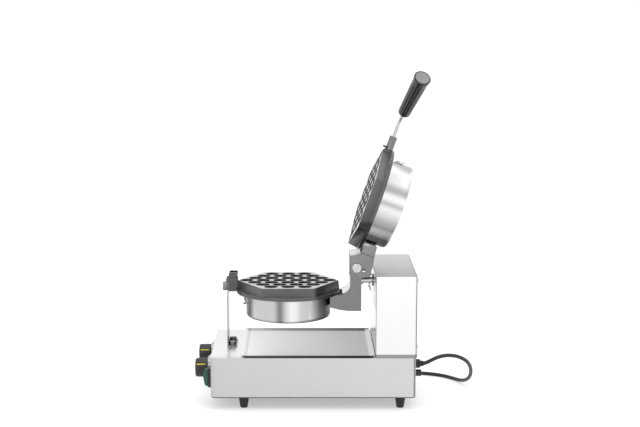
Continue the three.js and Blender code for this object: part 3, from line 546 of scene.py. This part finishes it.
# -------- mesh tools
def new_piece(name, bm, material, body, node=None, matrix=None, angle=32):
    """A finished piece from a bmesh drawn in the space of matrix. node is the CAD node it stands for."""
    if matrix is not None:
        bm.transform(matrix)
    bmesh.ops.recalc_face_normals(bm, faces=bm.faces)
    data = bpy.data.meshes.new(name)
    bm.to_mesh(data)
    bm.free()
    data.shade_smooth()
    data.set_sharp_from_angle(angle=math.radians(angle))
    data.materials.append(MATERIALS[material])
    piece = bpy.data.objects.new(name, data)
    bpy.context.scene.collection.objects.link(piece)
    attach(piece, body)
    if node:
        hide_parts(node)
    return piece


def turned(profile, sides=72, wave=None):
    """A bmesh turned about the y axis from (radius, y) pairs. wave(angle, radius, y) may change a radius."""
    bm = bmesh.new()
    rings = []
    for radius, y in profile:
        if radius < 1e-6:
            rings.append([bm.verts.new((0, y, 0))])
            continue
        ring = []
        for step in range(sides):
            angle = 2 * math.pi * step / sides
            r = wave(angle, radius, y) if wave else radius
            ring.append(bm.verts.new((r * math.cos(angle), y, r * math.sin(angle))))
        rings.append(ring)
    for lower, upper in zip(rings, rings[1:]):
        for step in range(sides):
            after = (step + 1) % sides
            if len(lower) == 1 and len(upper) == 1:
                break
            if len(lower) == 1:
                bm.faces.new((lower[0], upper[step], upper[after]))
            elif len(upper) == 1:
                bm.faces.new((lower[step], upper[0], lower[after]))
            else:
                bm.faces.new((lower[step], upper[step], upper[after], lower[after]))
    return bm


def closed_turned(profile, sides=72, wave=None):
    """A ring-shaped turned piece: the last point joins the first."""
    bm = turned(list(profile) + [profile[0]], sides, wave)
    bmesh.ops.remove_doubles(bm, verts=bm.verts, dist=1e-5)
    return bm


def arc(a, b, radius, start, end, steps=6):
    """Points round (a, b), angles in degrees."""
    angles = [math.radians(start + (end - start) * i / steps) for i in range(steps + 1)]
    return [(a + radius * math.cos(t), b + radius * math.sin(t)) for t in angles]


Z_FROM_Y = Matrix.Rotation(math.pi / 2, 4, "X")    # stands a shape turned about y up along z


def softened(node, material, bevel):
    """The CAD piece's own shape with small rounded edges, standing for the node."""
    source = frame["nodes"][node]
    bm = bmesh.new()
    bm.from_mesh(source.data)
    bmesh.ops.remove_doubles(bm, verts=bm.verts, dist=1e-6)
    bmesh.ops.dissolve_limit(bm, angle_limit=math.radians(1.0), verts=bm.verts, edges=bm.edges)
    limit = math.radians(30)
    sharp = [e for e in bm.edges if len(e.link_faces) == 2 and e.calc_face_angle(0) > limit]
    if bevel:
        bmesh.ops.bevel(bm, geom=sharp, offset=bevel * MM, segments=3, profile=0.5, affect="EDGES",
                        clamp_overlap=True)
    piece = new_piece(node + "_finish", bm, material, source["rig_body"], node)
    piece.modifiers.new("even_faces", "WEIGHTED_NORMAL").keep_sharp = True


def solid(bm):
    """A working object for the cuts below, in plain millimetres."""
    bmesh.ops.recalc_face_normals(bm, faces=bm.faces)
    data = bpy.data.meshes.new("working")
    bm.to_mesh(data)
    bm.free()
    piece = bpy.data.objects.new("working", data)
    bpy.context.scene.collection.objects.link(piece)
    return piece


def combined(target, others, operation="UNION"):
    """A working object joined with the others, or cut by them; the others are removed."""
    for other in others:
        modifier = target.modifiers.new("boolean", "BOOLEAN")
        modifier.operation = operation
        modifier.solver = "EXACT"
        modifier.object = other
    graph = bpy.context.evaluated_depsgraph_get()
    result = bpy.data.meshes.new_from_object(target.evaluated_get(graph))
    target.modifiers.clear()
    target.data = result
    for other in others:
        bpy.data.objects.remove(other)
    return target


def taken(target):
    """The bmesh of a working object, which is removed."""
    bm = bmesh.new()
    bm.from_mesh(target.data)
    bpy.data.objects.remove(target)
    return bm


def poured(part, whole):
    """Adds a bmesh's geometry to another one and frees it."""
    data = bpy.data.meshes.new("working")
    part.to_mesh(data)
    part.free()
    whole.from_mesh(data)
    bpy.data.meshes.remove(data)


def boxed(x0, x1, y0, y1, z0, z1, bevel=0.0):
    """A box between these limits, with rounded edges if bevel is given."""
    bm = bmesh.new()
    bmesh.ops.create_cube(bm, size=1)
    size = Matrix.Diagonal((x1 - x0, y1 - y0, z1 - z0, 1))
    bm.transform(Matrix.Translation(((x0 + x1) / 2, (y0 + y1) / 2, (z0 + z1) / 2)) @ size)
    if bevel:
        bmesh.ops.bevel(bm, geom=list(bm.edges), offset=bevel, segments=3, profile=0.5, affect="EDGES")
    return bm


# -------- cord, coil and plug
ON_TABLE = CORD_RADIUS + 0.1
CORD_ROUTE = [
    CORD_EXIT, (60, 419.5, 76.4), (59.8, 427, 78.6), (58.8, 437, 83.4), (56.6, 449, 88.2), (53.6, 462, 90.6),
    (50, 474, 90.2), (45.5, 486, 87.6), (39, 498, 82), (28, 509, 73), (14, 517, 61), (-3, 521.5, 47),
    (-21, 523, 33), (-40, 521, 20.5), (-60, 515.5, 10.8), (-82, 506.5, 5.2), (-103, 494, ON_TABLE),
    (-119.5, 479, ON_TABLE), (-132, 461, ON_TABLE), (-140, 442, ON_TABLE), (-145, 422, ON_TABLE),
    (-147.5, 400, ON_TABLE), (-148, 378, ON_TABLE), (*COIL_START, ON_TABLE),
]


def smooth(points, each=6):
    """A finer list of points on a smooth curve through these."""
    fine = []
    for i in range(len(points) - 1):
        p0 = Vector(points[max(i - 1, 0)])
        p1 = Vector(points[i])
        p2 = Vector(points[i + 1])
        p3 = Vector(points[min(i + 2, len(points) - 1)])
        for step in range(each):
            t = step / each
            fine.append(0.5 * ((2 * p1) + (p2 - p0) * t + (2 * p0 - 5 * p1 + 4 * p2 - p3) * t * t
                               + (3 * p1 - p0 - 3 * p2 + p3) * t ** 3))
    fine.append(Vector(points[-1]))
    return fine


def length_of(points):
    """The length of a line through these points."""
    return sum((Vector(b) - Vector(a)).length for a, b in zip(points, points[1:]))


def coil_turns(turn_length):
    """Round turns, the bottom two going outwards to inwards and the top two back out."""
    x0, y0 = COIL_CENTRE
    start = math.atan2(COIL_START[1] - y0, COIL_START[0] - x0)
    step = 2 * math.pi / 28
    points = []
    angle = start
    walked = 0.0

    def share(after):
        """0 up to a count of turns, then 1 about a third of a turn later."""
        turns = (start - angle) / (2 * math.pi)
        return min(max((turns - after) / 0.35, 0), 1)

    while walked < turn_length:
        pitch = 2 * CORD_RADIUS + 0.1
        radius = COIL_RADIUS - pitch * share(0.75) + pitch * share(2.75)
        height = ON_TABLE + (2 * CORD_RADIUS) * share(1.75)
        point = Vector((x0 + radius * math.cos(angle), y0 + radius * math.sin(angle), height))
        if points:
            walked += (point - points[-1]).length
        points.append(point)
        angle -= step
    return points


def make_cord():
    """The whole cord: its run to the table and along it, and then the coil. Also gives its length."""
    run = smooth(CORD_ROUTE)
    turns = coil_turns(CORD_LENGTH / MM - length_of(run))
    centre_line = run + turns[1:]
    curve = bpy.data.curves.new("power_cord_jacket", "CURVE")
    curve.dimensions = "3D"
    curve.bevel_depth = CORD_RADIUS * MM
    curve.bevel_resolution = 5
    curve.use_fill_caps = True
    spline = curve.splines.new("POLY")
    spline.points.add(len(centre_line) - 1)
    for point, place in zip(spline.points, centre_line):
        point.co = (*at(*place), 1)
    spline.use_smooth = True
    cord = bpy.data.objects.new("power_cord_jacket", curve)
    bpy.context.scene.collection.objects.link(cord)
    curve.materials.append(MATERIALS["cord"])
    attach(cord, "base")
    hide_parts("power_cord", "cord_coil")
    return cord, length_of(centre_line) * MM


def make_plug():
    """Round moulded two-pin plug on its side, with a ribbed sleeve towards the coil."""
    x, y, z = PLUG_CENTRE
    profile = [(0, y - 22), (16.2, y - 22), *arc(16.2, y - 20, 2, -90, 0, 4), (18.2, y - 4)]
    profile += [(17.2, y + 3), (14.4, y + 8.5), (10.4, y + 12), (7.2, y + 14)]
    for rib in range(4):
        start = y + 14.4 + rib * 1.8
        crest = 6.2 - 0.4 * rib
        profile += [(crest, start), (crest, start + 0.9), (4.9, start + 1.1), (4.9, start + 1.7)]
    profile += [(4.5, y + 21.6), (0, y + 21.6)]
    body = new_piece("plug_body", turned(profile), "cord", "base", "plug",
                     machine_matrix() @ Matrix.Translation((x, 0, z)))
    pins = []
    tip = y - 41
    shape = [(0, tip), (1.4, tip), (2.4, tip + 1.6), (2.4, tip + 9), (2.4, y - 21), (0, y - 21)]
    for side, offset in (("left", -9.5), ("right", 9.5)):
        pins.append(new_piece("plug_pin_" + side, turned(shape, 32), "bright", "base",
                              matrix=machine_matrix() @ Matrix.Translation((x + offset, 0, z))))
    return [body, *pins]


def make_strain_relief():
    """Cord grip: a flange on the wall and a ribbed sleeve that tapers onto the cord."""
    wall = 400
    bore = CORD_RADIUS + 0.3
    profile = [(bore, wall - 10), (6.4, wall - 10), (7.1, wall - 3), (7.1, wall + 0.3), (8.8, wall + 0.3),
               (9.2, wall + 0.7), (9.2, wall + 4), (8.8, wall + 4.4), (8.8, wall + 11.4), (8.2, wall + 12.4),
               (7, wall + 13.2)]
    for rib in range(3):
        start = wall + 13.6 + rib * 2.1
        crest = 6.2 - 0.35 * rib
        profile += [(crest, start), (crest, start + 1.1), (5.1, start + 1.3), (5.1, start + 1.9)]
    profile += [(4.8, wall + 20), (bore, wall + 20)]
    grips = 16

    def wave(angle, radius, y):
        if not wall + 4.2 < y < wall + 12:
            return radius
        return radius - 0.35 * (0.5 + 0.5 * math.cos(grips * angle))

    place = Matrix.Translation((CORD_EXIT[0], 0, CORD_EXIT[2]))
    new_piece("strain_relief_finish", closed_turned(profile, 96, wave), "rubber", "base",
              "strain_relief", machine_matrix() @ place)


cord, cord_length = make_cord()
plug_pieces = make_plug()
make_strain_relief()


# -------- plates
def cavity_centres():
    """The bowls' middles: seven rows of 3 to 6 and back to 3, half a pitch apart along each other."""
    for row in range(-3, 4):
        count = 6 - abs(row)
        for i in range(count):
            yield row * ROW_PITCH, (i - (count - 1) / 2) * CAVITY_PITCH


def hexagon(bm, apothem, depth):
    """Six corners of a hexagon across flats of twice the apothem."""
    radius = apothem / math.cos(math.pi / 6)
    angles = [math.pi / 2 + k * math.pi / 3 for k in range(6)]
    return [bm.verts.new((radius * math.cos(t), radius * math.sin(t), depth)) for t in angles]


def hexagonal_wall():
    """The drafted six-sided block, with rounded corners and a softened rim."""
    bm = bmesh.new()
    face = hexagon(bm, HEX_APOTHEM, FACE_GAP)
    foot = hexagon(bm, HEX_APOTHEM + WALL_DRAFT, WALL_DEPTH + 0.5)
    for k in range(6):
        after = (k + 1) % 6
        bm.faces.new((face[k], face[after], foot[after], foot[k]))
    bm.faces.new(face)
    bm.faces.new(foot)
    bmesh.ops.recalc_face_normals(bm, faces=bm.faces)
    uprights = [e for e in bm.edges if abs(e.verts[0].co.z - e.verts[1].co.z) > 5]
    bmesh.ops.bevel(bm, geom=uprights, offset=2.4, segments=4, profile=0.5, affect="EDGES")
    rim = [e for e in bm.edges if all(abs(v.co.z - FACE_GAP) < 1e-3 for v in e.verts)]
    bmesh.ops.bevel(bm, geom=rim, offset=1.0, segments=3, profile=0.5, affect="EDGES")
    return bm


def round_flange():
    """The disc behind the wall, with rounded edges."""
    edge = 1.2
    rim = FLANGE_RADIUS - edge
    bm = turned([(0, -FLANGE_DEPTH), *arc(rim, -FLANGE_DEPTH + edge, edge, -90, 0, 4),
                 *arc(rim, -WALL_DEPTH - edge, edge, 0, 90, 4), (0, -WALL_DEPTH)], 160)
    bm.transform(Matrix.Rotation(-math.pi / 2, 4, "X"))
    return bm


def cavity_cutters():
    """One mesh with every bowl: a deep round cup with a small rolled lip."""
    sphere = (CAVITY_RADIUS ** 2 + CAVITY_DEPTH ** 2) / (2 * CAVITY_DEPTH)
    middle = FACE_GAP + CAVITY_DEPTH - sphere
    lip_depth = FACE_GAP + 0.6
    mouth = math.degrees(math.asin((middle - lip_depth) / sphere))
    bowl = [(max(r, 0), y) for r, y in arc(0, -middle, sphere, -90, mouth, 12)]
    lip = [(CAVITY_RADIUS + 0.05, -FACE_GAP - 0.2), (CAVITY_RADIUS + 0.3, -FACE_GAP + 0.05)]
    profile = bowl + lip + [(CAVITY_RADIUS + 0.3, 2), (0, 2)]
    whole = bmesh.new()
    for x, y in cavity_centres():
        cup = turned(profile, 36)
        cup.transform(Matrix.Translation((x, y, 0)) @ Matrix.Rotation(-math.pi / 2, 4, "X"))
        poured(cup, whole)
    return whole


def is_in_bowl(point):
    """Whether a point of the plate lies on a bowl's surface."""
    near = any(math.hypot(point.x - x, point.y - y) < CAVITY_RADIUS + 0.1 for x, y in cavity_centres())
    return near and point.z < FLANGE_DEPTH - 2


def make_plate(name, node, material, matrix, body):
    """Hexagonal wall, round flange and front lug cast in one, with the bowls cut last."""
    lug_front = 46.5 - PLATE_Y
    lug = boxed(-8, 8, lug_front, lug_front + 16, 3, FLANGE_DEPTH - 1, 0.6)
    whole = combined(solid(hexagonal_wall()), [solid(round_flange()), solid(lug)])
    bm = taken(combined(whole, [solid(cavity_cutters())], "DIFFERENCE"))
    # Marks the bowls, where the plate's colour is painted shade.
    painted_bowl_shade = [float(is_in_bowl(v.co)) for v in bm.verts]
    piece = new_piece(name, bm, material, body, node, matrix, 28)
    piece.data.attributes.new("bowl", "FLOAT", "POINT").data.foreach_set("value", painted_bowl_shade)


def make_housing(name, node, material, matrix, body):
    """Spun cup with a rolled rim and a shallow raised ring on its face."""
    rim = FLANGE_DEPTH + 0.3
    top = HOUSING_DEPTH
    r = HOUSING_RADIUS
    outside = [(r - 1.5, rim), (r, rim), (r, rim + 1.4), (r - 0.35, rim + 2.2), (r - 0.35, top - 7)]
    outside += arc(r - 7.35, top - 7, 7, 0, 90, 8)
    face = [(60, top), (58.5, top - 0.7), (0, top - 0.7)]
    inside = [(0, top - 2), (r - 9, top - 2), *arc(r - 7, top - 7, 5, 90, 0, 5)[1:], (r - 1.7, rim + 4)]
    bm = turned(inside + outside + face, 128)
    bm.transform(Z_FROM_Y)
    new_piece(name, bm, material, body, node, matrix, 34)


make_plate("lower_plate_casting", "lower_plate", "lower_plate", lower_half(), "turning_unit")
make_plate("upper_plate_casting", "upper_plate", "upper_plate", upper_half(), "lid")
make_housing("lower_heater_cup", "lower_heater_housing", "lower_cup", lower_half(), "turning_unit")
make_housing("upper_heater_cup", "upper_heater_housing", "upper_cup", upper_half(), "lid")


# -------- handle
def handle_way():
    """The direction of the handle beyond its bend."""
    turn = math.radians(HANDLE_ANGLE)
    rise = math.radians(HANDLE_RISE)
    return Vector((math.sin(turn) * math.cos(rise), -math.cos(turn) * math.cos(rise), math.sin(rise)))


def grip_matrix():
    """Millimetres along the grip, y from the bend, on the open lid."""
    spin = Vector((0, 1, 0)).rotation_difference(handle_way()).to_matrix().to_4x4()
    return lid_matrix() @ Matrix.Translation((0, HANDLE_BEND_Y, BOSS_DEPTH)) @ spin


def make_grip():
    """Fluted black grip that flares to its end, with a grey cap let into a black rim."""
    a = GRIP_START
    b = GRIP_START + GRIP_LENGTH
    shape = [(3.7, a), (8.2, a), *arc(8.8, a + 3.4, 3.4, -90, 0, 5), (12.4, a + 5.5)]
    for i in range(1, 13):
        t = i / 12
        shape.append((12.4 + 2.8 * t, a + 5.5 + (GRIP_LENGTH - 22) * t))
    shape += [(15.4, b - 12), (16, b - 7), (16.4, b - 4), (16.6, b - 2.2), (16.6, b - 0.6), (16.2, b),
              (14.8, b), (14.5, b - 0.4), (14.5, b - 1.6), (0, b - 1.6)]
    flutes = 10

    def wave(angle, radius, y):
        if not a + 9 < y < b - 13:
            return radius
        ease = min(1, (y - a - 9) / 6, (b - 13 - y) / 6)
        groove = max(0.0, math.cos(flutes * angle)) ** 1.6
        return radius - 0.85 * groove * ease

    fine = []
    for (r0, y0), (r1, y1) in zip(shape, shape[1:]):
        steps = max(1, int(abs(y1 - y0) / 2.5)) if r0 > 9 and r1 > 9 else 1
        fine += [(r0 + (r1 - r0) * k / steps, y0 + (y1 - y0) * k / steps) for k in range(steps)]
    fine.append(shape[-1])
    hollow = [(0, a + 42), (3.7, a + 42)]
    new_piece("grip_fluted", turned(hollow + fine, 120, wave), "grip", "handle",
              "handle_grip", grip_matrix(), 40)
    cap = [(0, b - 1.4), (14.2, b - 1.4), (14.2, b + 0.1), (13.8, b + 0.5), (12.6, b + 0.6), (12.2, b + 0.2),
           (3, b + 0.2), (2.6, b - 0.2), (0, b - 0.2)]
    new_piece("grip_cap_disc", turned(cap), "grey", "handle", "grip_end_cap", grip_matrix())


def tube(points, radius, sides=32):
    """A bmesh tube along points, with flat ends."""
    bm = bmesh.new()
    rings = []
    up = Vector((0, 0, 1))
    for i, point in enumerate(points):
        before = Vector(points[max(i - 1, 0)])
        after = Vector(points[min(i + 1, len(points) - 1)])
        way = (after - before).normalized()
        side = way.cross(up).normalized() if abs(way.z) < 0.95 else Vector((1, 0, 0))
        lift = side.cross(way)
        ring = []
        for step in range(sides):
            angle = 2 * math.pi * step / sides
            out = math.cos(angle) * side + math.sin(angle) * lift
            ring.append(bm.verts.new(Vector(point) + radius * out))
        rings.append(ring)
    for first, second in zip(rings, rings[1:]):
        for step in range(sides):
            after = (step + 1) % sides
            bm.faces.new((first[step], second[step], second[after], first[after]))
    bm.faces.new(rings[0])
    bm.faces.new(rings[-1])
    return bm


def make_rod():
    """Round rod from the boss, through its bend and into the grip."""
    way = handle_way()
    bend = Vector((0, HANDLE_BEND_Y, BOSS_DEPTH))
    into = bend + Vector((0, 14, 0))
    out = bend + 14 * way
    points = [Vector((0, 45.9, BOSS_DEPTH)), into]
    for i in range(1, 12):
        t = i / 12
        points.append((1 - t) ** 2 * into + 2 * t * (1 - t) * bend + t * t * out)
    points += [out, bend + (GRIP_START + 39) * way]
    new_piece("handle_rod_round", tube(points, 3.4), "bright", "handle", "handle_rod",
              lid_matrix())


make_grip()
make_rod()


# -------- controls
def make_knob(name, node, body, x):
    """Knob with a softly domed front, fine side grips and a painted pointer."""
    profile = [(0, -33.6), (11, -33.7), (14.5, -33.4), *arc(15, -30, 3.6, -90, 0, 6), (18.8, -26), (19, -12),
               (18.6, -9.6), (3.4, -9.6), (3.4, -22), (0, -22)]
    grips = 36

    def wave(angle, radius, y):
        if radius < 17 or y > -12:
            return radius
        return radius - 0.35 * max(0.0, math.cos(grips * angle))

    place = machine_matrix() @ Matrix.Translation((x, 0, KNOB_Z))
    new_piece(name, turned(profile, 144, wave), "black", body, node, place, 50)
    pointer = boxed(-1.1, 1.1, -30.5, -13, KNOB_RADIUS - 1.2, KNOB_RADIUS + 0.1, 0.3)
    turn = Matrix.Rotation(math.radians(POINTER_TURN), 4, "Y")
    new_piece(name + "_pointer", pointer, "yellow", body, matrix=place @ turn)
    face = boxed(-1.1, 1.1, -34.0, -33.2, 6, KNOB_RADIUS - 3, 0.25)
    new_piece(name + "_face_mark", face, "yellow", body, matrix=place @ turn)


def make_bezel(name, node, x):
    """Conical bright bezel with raised dial ticks."""
    profile = [(6, -8.8), (20.6, -8.8), (21.2, -8.5), (27.4, -2), (27.8, -1.4), (27.8, -0.3), (6, -0.3)]
    place = machine_matrix() @ Matrix.Translation((x, 0, KNOB_Z))
    new_piece(name, closed_turned(profile, 96), "bright", "base", node, place)
    bm = bmesh.new()
    for k in range(11):
        tick = boxed(-0.35, 0.35, -0.25, 0.12, -2.6 if k % 5 else -3.4, 2.4)
        lean = Matrix.Translation((0, -5.3, 24.3)) @ Matrix.Rotation(math.radians(45), 4, "X")
        tick.transform(Matrix.Rotation(math.radians(-135 + 27 * k), 4, "Y") @ lean)
        poured(tick, bm)
    new_piece(name + "_ticks", bm, "print", "base", matrix=place)


make_knob("timer_knob_round", "timer_knob", "timer_dial", -KNOB_X)
make_knob("thermostat_knob_round", "thermostat_knob", "thermostat_dial", KNOB_X)
make_bezel("timer_bezel_ring", "timer_bezel", -KNOB_X)
make_bezel("thermostat_bezel_ring", "thermostat_bezel", KNOB_X)


# -------- sheet work and hardware
# CAD node, material, and edge rounding in millimetres
SHEET_AND_HARDWARE = [
    ("base_housing", "base", 0.5), ("bottom_plate", "bottom", 0.25), ("tower_shell", "tower", 0.5),
    ("tower_back_cover", "tower", 0), ("drip_tray", "tray", 0.2), ("support_bracket", "edge_steel", 0.3),
    ("bearing_bracket", "steel", 0.5), ("lower_bracket", "lower_bracket", 0.4),
    ("upper_bracket", "upper_bracket", 0.4), ("latch_fork", "fork", 0.8),
    ("lower_housing_clip", "steel", 0.25), ("upper_housing_clip", "bright", 0.25),
    ("support_bolt_left", "steel", 0.4), ("support_bolt_right", "steel", 0.4), ("hinge_nut", "bright", 0.5),
    ("switch_frame", "black", 0.6), ("switch_rocker", "green", 0.7), ("switch_boot", "boot", 0.8),
    ("terminal_block", "ceramic", 0.5), ("timer_body", "ceramic", 0.8), ("thermostat_body", "grey", 0.8),
]

for sheet_node, sheet_material, rounding in SHEET_AND_HARDWARE:
    softened(sheet_node, sheet_material, rounding)


def make_feet():
    """Tapered rubber feet with a moulded shoulder and a steel screw inside."""
    profile = [(0, 7), (3.2, 7), (3.6, 0.2), (4.1, 0), (6.2, 0), (6.9, 0.5), (7.3, 1.6), (10.3, 20.6),
               (10.8, 21.2), (10.8, 22), (10.5, 22.4), (0, 22.4)]
    screw_profile = [(0, 7.4), (2.9, 7.4), (2.9, 4.6), (2.2, 3.9), (0, 3.7)]
    feet = (("front_left", -106, 64), ("front_right", 106, 64), ("rear_left", -106, 371),
            ("rear_right", 106, 371))
    for name, x, y in feet:
        place = machine_matrix() @ Matrix.Translation((x, y, 0))
        rubber = turned(profile)
        rubber.transform(Z_FROM_Y)
        new_piece(f"foot_{name}_rubber", rubber, "rubber", "base", f"foot_{name}", place)
        screw = turned(screw_profile, 32)
        screw.transform(Z_FROM_Y)
        new_piece(f"foot_{name}_screw", screw, "bright", "base", matrix=place)


def make_cover_screws():
    """Pan-head screws with a crossed recess."""
    face = 402.1
    for i, (x, z) in enumerate([(-112, 123.7), (112, 123.7), (-112, 254), (112, 254)]):
        head = turned([(0, face - 8), (2, face - 8), (2, face), (4.4, face), (4.5, face + 0.6),
                       (4.1, face + 1.7), (2.9, face + 2.6), (1.4, face + 2.9), (0, face + 2.9)], 48)
        cross = [solid(boxed(-2.2, 2.2, face + 1.3, face + 4, -0.45, 0.45)),
                 solid(boxed(-0.45, 0.45, face + 1.3, face + 4, -2.2, 2.2))]
        bm = taken(combined(solid(head), cross, "DIFFERENCE"))
        turn = Matrix.Rotation(math.radians(20 + 35 * i), 4, "Y")
        new_piece(f"cover_screw_{i + 1}_pan", bm, "bright", "base", f"cover_screw_{i + 1}",
                  machine_matrix() @ Matrix.Translation((x, 0, z)) @ turn)


def make_round(name, node, profile, material, body, matrix, ring=False):
    """A smooth turned piece for a faceted CAD one; a ring has a bore."""
    bm = closed_turned(profile, 64) if ring else turned(profile, 64)
    new_piece(name, bm, material, body, node, matrix)


make_feet()
make_cover_screws()

on_axis = turning_matrix()
make_round("turn_shaft_round", "turn_shaft",
           [(0, 297), (8.1, 297), (8.5, 297.4), (8.5, 300.6), (8.1, 301), (6, 301), (6, 379.2), (5.4, 380),
            (0, 380)],
           "bright", "turning_unit", on_axis)
make_round("front_bushing_round", "shaft_front_bushing",
           [(6.3, 319.2), (11.6, 319.2), (12, 319.6), (12, 321.2), (9, 321.2), (9, 331.2), (6.3, 331.2)],
           "bronze", "base", on_axis, True)
make_round("rear_bushing_round", "shaft_rear_bushing",
           [(6.3, 359), (11.6, 359), (12, 359.4), (12, 361.7), (9, 361.7), (9, 370), (6.3, 370)],
           "bronze", "base", on_axis, True)
make_round("shaft_collar_round", "shaft_collar",
           [(6.3, 371), (10.6, 371), (11, 371.4), (11, 376.6), (10.6, 377), (6.3, 377)],
           "bright", "turning_unit", on_axis, True)
make_round("front_journal_round", "front_journal",
           [(0, 19), (7.6, 19), (8.6, 19.5), (9, 20.6), (9, 27.2), (8.7, 27.6), (7.7, 27.8), (7.7, 46.2),
            (0, 46.2)],
           "steel", "turning_unit", on_axis @ Matrix.Translation((0, 0, -BOSS_DEPTH)))
make_round("heating_lamp_lens", "heating_lamp",
           [(0, -3.2), (2.6, -2.9), (3.8, -2.1), (4.4, -1.5), (5.8, -1.4), (6.2, -1.1), (6.2, -0.3),
            (4.6, -0.3), (4.6, 14), (0, 14)],
           "amber", "base", machine_matrix() @ Matrix.Translation((0, 0, LAMP_Z)))
rear_fuse = machine_matrix() @ Matrix.Translation((FUSE[0], 0, FUSE[1]))
make_round("fuse_holder_round", "fuse_holder",
           [(0, 374), (5.4, 374), (5.4, 400.3), (7.6, 400.3), (8, 400.7), (8, 402.6), (7.6, 403), (3.2, 403),
            (3.2, 380), (0, 380)], "black", "base", rear_fuse)
make_round("fuse_cap_round", "fuse_cap",
           [(0, 391.3), (2.8, 391.3), (2.8, 403.3), (6.4, 403.3), (6.8, 403.8), (6.8, 413.6), (6, 415.4),
            (5, 415.9), (0, 415.9)], "black", "base", rear_fuse)


def make_hinge_pin():
    """Pin with a chamfered, slotted head on the user's right."""
    face = 36.9
    pin = turned([(0, -face - 10), (4.4, -face - 10), (5, -face - 9.2), (5, face), (8.6, face),
                  (9.3, face + 0.7), (9.3, face + 3.4), (8.5, face + 4.3), (0, face + 4.4)], 64)
    pin.transform(Matrix.Rotation(-math.pi / 2, 4, "Z"))
    slot = boxed(face + 1.2, face + 6, -1.3, 1.3, -12, 12)
    slot.transform(Matrix.Rotation(math.radians(-30), 4, "X"))
    bm = taken(combined(solid(pin), [solid(slot)], "DIFFERENCE"))
    new_piece("hinge_pin_slotted", bm, "bright", "turning_unit", "hinge_pin",
              machine_matrix() @ Matrix.Translation(HINGE))


def ring_points(count):
    """Angles once round, the last one closing on the first."""
    return [2 * math.pi * k / count for k in range(count + 1)]


def make_split_pin():
    """Folded wire pin: a round eye above the shaft, and two legs below it."""
    y = 314
    eye = [Vector((0, y + 3.4 * math.sin(t), 12.4 - 3.4 * math.cos(t))) for t in ring_points(32)]
    new_piece("split_pin_eye", tube(eye, 1.3, 20), "bright", "turning_unit", "split_pin",
              turning_matrix())
    long_leg = [(0, y, 10), (0, y, -9), (0, y + 0.5, -14), (0, y + 2.1, -22)]
    short_leg = [(0, y - 0.2, -7), (0, y - 0.8, -11), (0, y - 1.6, -15)]
    for i, (leg, radius) in enumerate(((long_leg, 1.5), (short_leg, 1.2))):
        new_piece(f"split_pin_leg_{i + 1}", tube(leg, radius, 20), "bright", "turning_unit",
                  matrix=turning_matrix())


def make_elements():
    """Sheathed ring elements behind the plates."""
    centre = FLANGE_DEPTH + 4.5
    for name, matrix, body in (("lower", lower_half(), "turning_unit"), ("upper", upper_half(), "lid")):
        ring = [Vector((58 * math.cos(t), 58 * math.sin(t), centre)) for t in ring_points(96)]
        new_piece(f"{name}_element_ring", tube(ring, 4.1, 24), "element", body,
                  f"{name}_heating_element", matrix)


make_hinge_pin()
make_split_pin()
make_elements()
softened("handle_boss", "steel", 0.3)
softened("lock_pin", "fork", 0.3)


# -------- stage
def make_floor():
    """A pale floor that runs out of sight and glows a little, so that it meets the world without an edge."""
    bm = bmesh.new()
    bmesh.ops.create_grid(bm, x_segments=1, y_segments=1, size=80)
    data = bpy.data.meshes.new("floor")
    bm.to_mesh(data)
    bm.free()
    floor = bpy.data.objects.new("floor", data)
    bpy.context.scene.collection.objects.link(floor)
    material, bsdf = shader("floor", (0.6, 0.6, 0.6), 0.8)
    bsdf.inputs["Emission Color"].default_value = (1, 1, 1, 1)
    bsdf.inputs["Emission Strength"].default_value = 0.42
    nodes = Nodes(material, bsdf)
    nodes.color(nodes.ramp(nodes.noise(nodes.place, 3, 2), [(0.3, 0.59), (0.7, 0.61)]))
    data.materials.append(material)


def make_light(name, place, target, size, power):
    """A soft rectangular lamp at a place, turned to its target; metres and watts."""
    data = bpy.data.lights.new(name, "AREA")
    data.shape = "RECTANGLE"
    data.size, data.size_y = size
    data.energy = power
    light = bpy.data.objects.new(name, data)
    light.location = place
    light.rotation_euler = (Vector(target) - Vector(place)).to_track_quat("-Z", "Y").to_euler()
    bpy.context.scene.collection.objects.link(light)


def make_world():
    """An even white studio all round."""
    world = bpy.data.worlds.new("studio")
    world.use_nodes = True
    world.node_tree.nodes["Background"].inputs["Color"].default_value = (1, 1, 1, 1)
    world.node_tree.nodes["Background"].inputs["Strength"].default_value = 1.06
    bpy.context.scene.world = world


make_floor()
make_world()
make_light("overhead", (0.1, 0.0, 2.4), (0, 0, 0.1), (2.4, 2.4), 16)
make_light("camera_side", (2.4, -1.2, 1.6), (0, 0, 0.2), (1.2, 1.6), 8)
make_light("rear_edge", (-1.2, 1.5, 1.4), (0, 0.05, 0.3), (0.8, 1.4), 5)
bpy.context.scene.view_settings.view_transform = "Standard"
bpy.context.scene.view_settings.look = "None"

bpy.context.view_layer.update()
